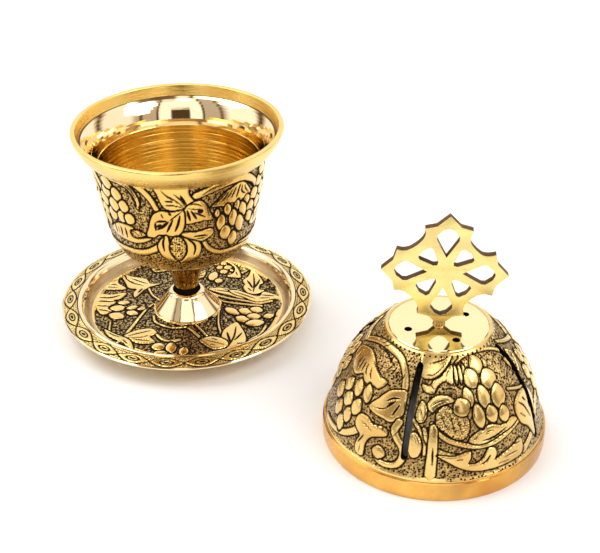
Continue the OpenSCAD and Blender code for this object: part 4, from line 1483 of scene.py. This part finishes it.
# Each panel of the studio: azimuth from the front, elevation (degrees), and brightness.
PANELS = [
    ((-66, 66), (4, 62), 0.45), ((-30, 30), (6, 62), 0.85), ((-116, -66), (2, 58), 1.15), ((66, 118),
    (2, 58), 1.0),
    ((128, 232), (3, 66), 1.0), ((-180, 240), (72, 91), 0.25), ((-22, 4), (55, 72), 1.3),
]
# Dark things round the table that the brass mirrors: azimuth, elevation, and how much light each takes.
SHADOWS = [((-13, 13), (4, 33), 0.94), ((-33, -30), (-2, 60), 0.95),
           ((30, 33), (-2, 60), 0.95), ((-60, -55), (8, 60), 0.6), ((52, 57), (8, 60), 0.7)]
# Half the width of the panels' and the shadows' soft edges, in degrees.
PANEL_SOFT = 4.5
SHADOW_SOFT = 0.8
# Azimuths run from here, in degrees, so that no panel is split behind the table.
SEAM = -122.0
# Brightness of the room between the panels, its tint, and what the camera sees behind the table.
ROOM = 0.11
WARM = (1.0, 0.66, 0.38)
BACKDROP = 0.93


def patch(tree, azimuth, elevation, across, up, soft):
    """1 inside a panel of the room and 0 outside it."""
    share = remap(tree, azimuth, across[0] - soft, across[0] + soft)
    share = math_node(tree, "MULTIPLY", share, remap(tree, azimuth, across[1] + soft, across[1] - soft))
    share = math_node(tree, "MULTIPLY", share, remap(tree, elevation, up[0] - soft, up[0] + soft))
    return math_node(tree, "MULTIPLY", share, remap(tree, elevation, up[1] + soft, up[1] - soft))


def room_light(tree, parts):
    """How bright the room is in the direction whose x, y and z are given."""
    x, y, z = parts.outputs
    toward = math_node(tree, "MULTIPLY", y, -1.0)
    azimuth = math_node(tree, "MULTIPLY", math_node(tree, "ARCTAN2", x, toward), 180 / math.pi)
    elevation = math_node(tree, "MULTIPLY", math_node(tree, "ARCSINE", z), 180 / math.pi)
    behind = math_node(tree, "LESS_THAN", azimuth, SEAM)
    azimuth = math_node(tree, "MULTIPLY_ADD", behind, 360.0, azimuth)
    strength = remap(tree, z, -0.2, 1.0, ROOM, ROOM * 1.6)
    for across, up, bright in PANELS:
        share = patch(tree, azimuth, elevation, across, up, PANEL_SOFT)
        strength = math_node(tree, "MULTIPLY_ADD", share, bright, strength)
    for across, up, dark in SHADOWS:
        share = math_node(tree, "MULTIPLY", patch(tree, azimuth, elevation, across, up, SHADOW_SOFT), -dark)
        strength = math_node(tree, "MULTIPLY_ADD", share, strength, strength)
    return strength


def make_world():
    """A dim room with white panels round the table, and a plain pale backdrop."""
    world = bpy.data.worlds.new("Studio")
    bpy.context.scene.world = world
    world.use_nodes = True
    tree = world.node_tree
    parts = node(tree, "ShaderNodeSeparateXYZ")
    link(tree, node(tree, "ShaderNodeTexCoord").outputs["Generated"], parts.inputs[0])
    strength = room_light(tree, parts)
    seen = node(tree, "ShaderNodeLightPath").outputs["Is Camera Ray"]
    shown = node(tree, "ShaderNodeMix", data_type="FLOAT")
    link(tree, seen, shown.inputs["Factor"])
    link(tree, strength, shown.inputs["A"])
    shown.inputs["B"].default_value = BACKDROP
    whiteness = math_node(tree, "MAXIMUM", remap(tree, strength, 0.1, 0.85), seen)
    background = tree.nodes["Background"]
    link(tree, mix_colour(tree, whiteness, WARM, (1, 1, 1)), background.inputs["Color"])
    link(tree, shown.outputs["Result"], background.inputs["Strength"])


def make_camera():
    data = bpy.data.cameras.new("Camera")
    data.lens = CAMERA_LENS
    data.sensor_width = 36
    camera = add_object("Camera", data)
    tilt = Matrix.Rotation(math.pi / 2 - CAMERA_PITCH, 4, "X")
    camera.matrix_world = Matrix.Translation(CAMERA_PLACE) @ tilt @ Matrix.Rotation(CAMERA_ROLL, 4, "Z")
    bpy.context.scene.camera = camera


make_camera()
make_floor()
make_world()
softbox("Key", (-0.5, 0.1, 1.0), (0, 0, 0.05), 0.8, 6)
softbox("Fill", (0.75, -0.4, 0.9), (0.08, -0.05, 0.04), 0.7, 5)
bpy.context.scene.view_settings.view_transform = "Standard"

boxes = {"cad": CAD_BOX, "visual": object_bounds()}
{name: [list(corner) for corner in box] for name, box in boxes.items()}
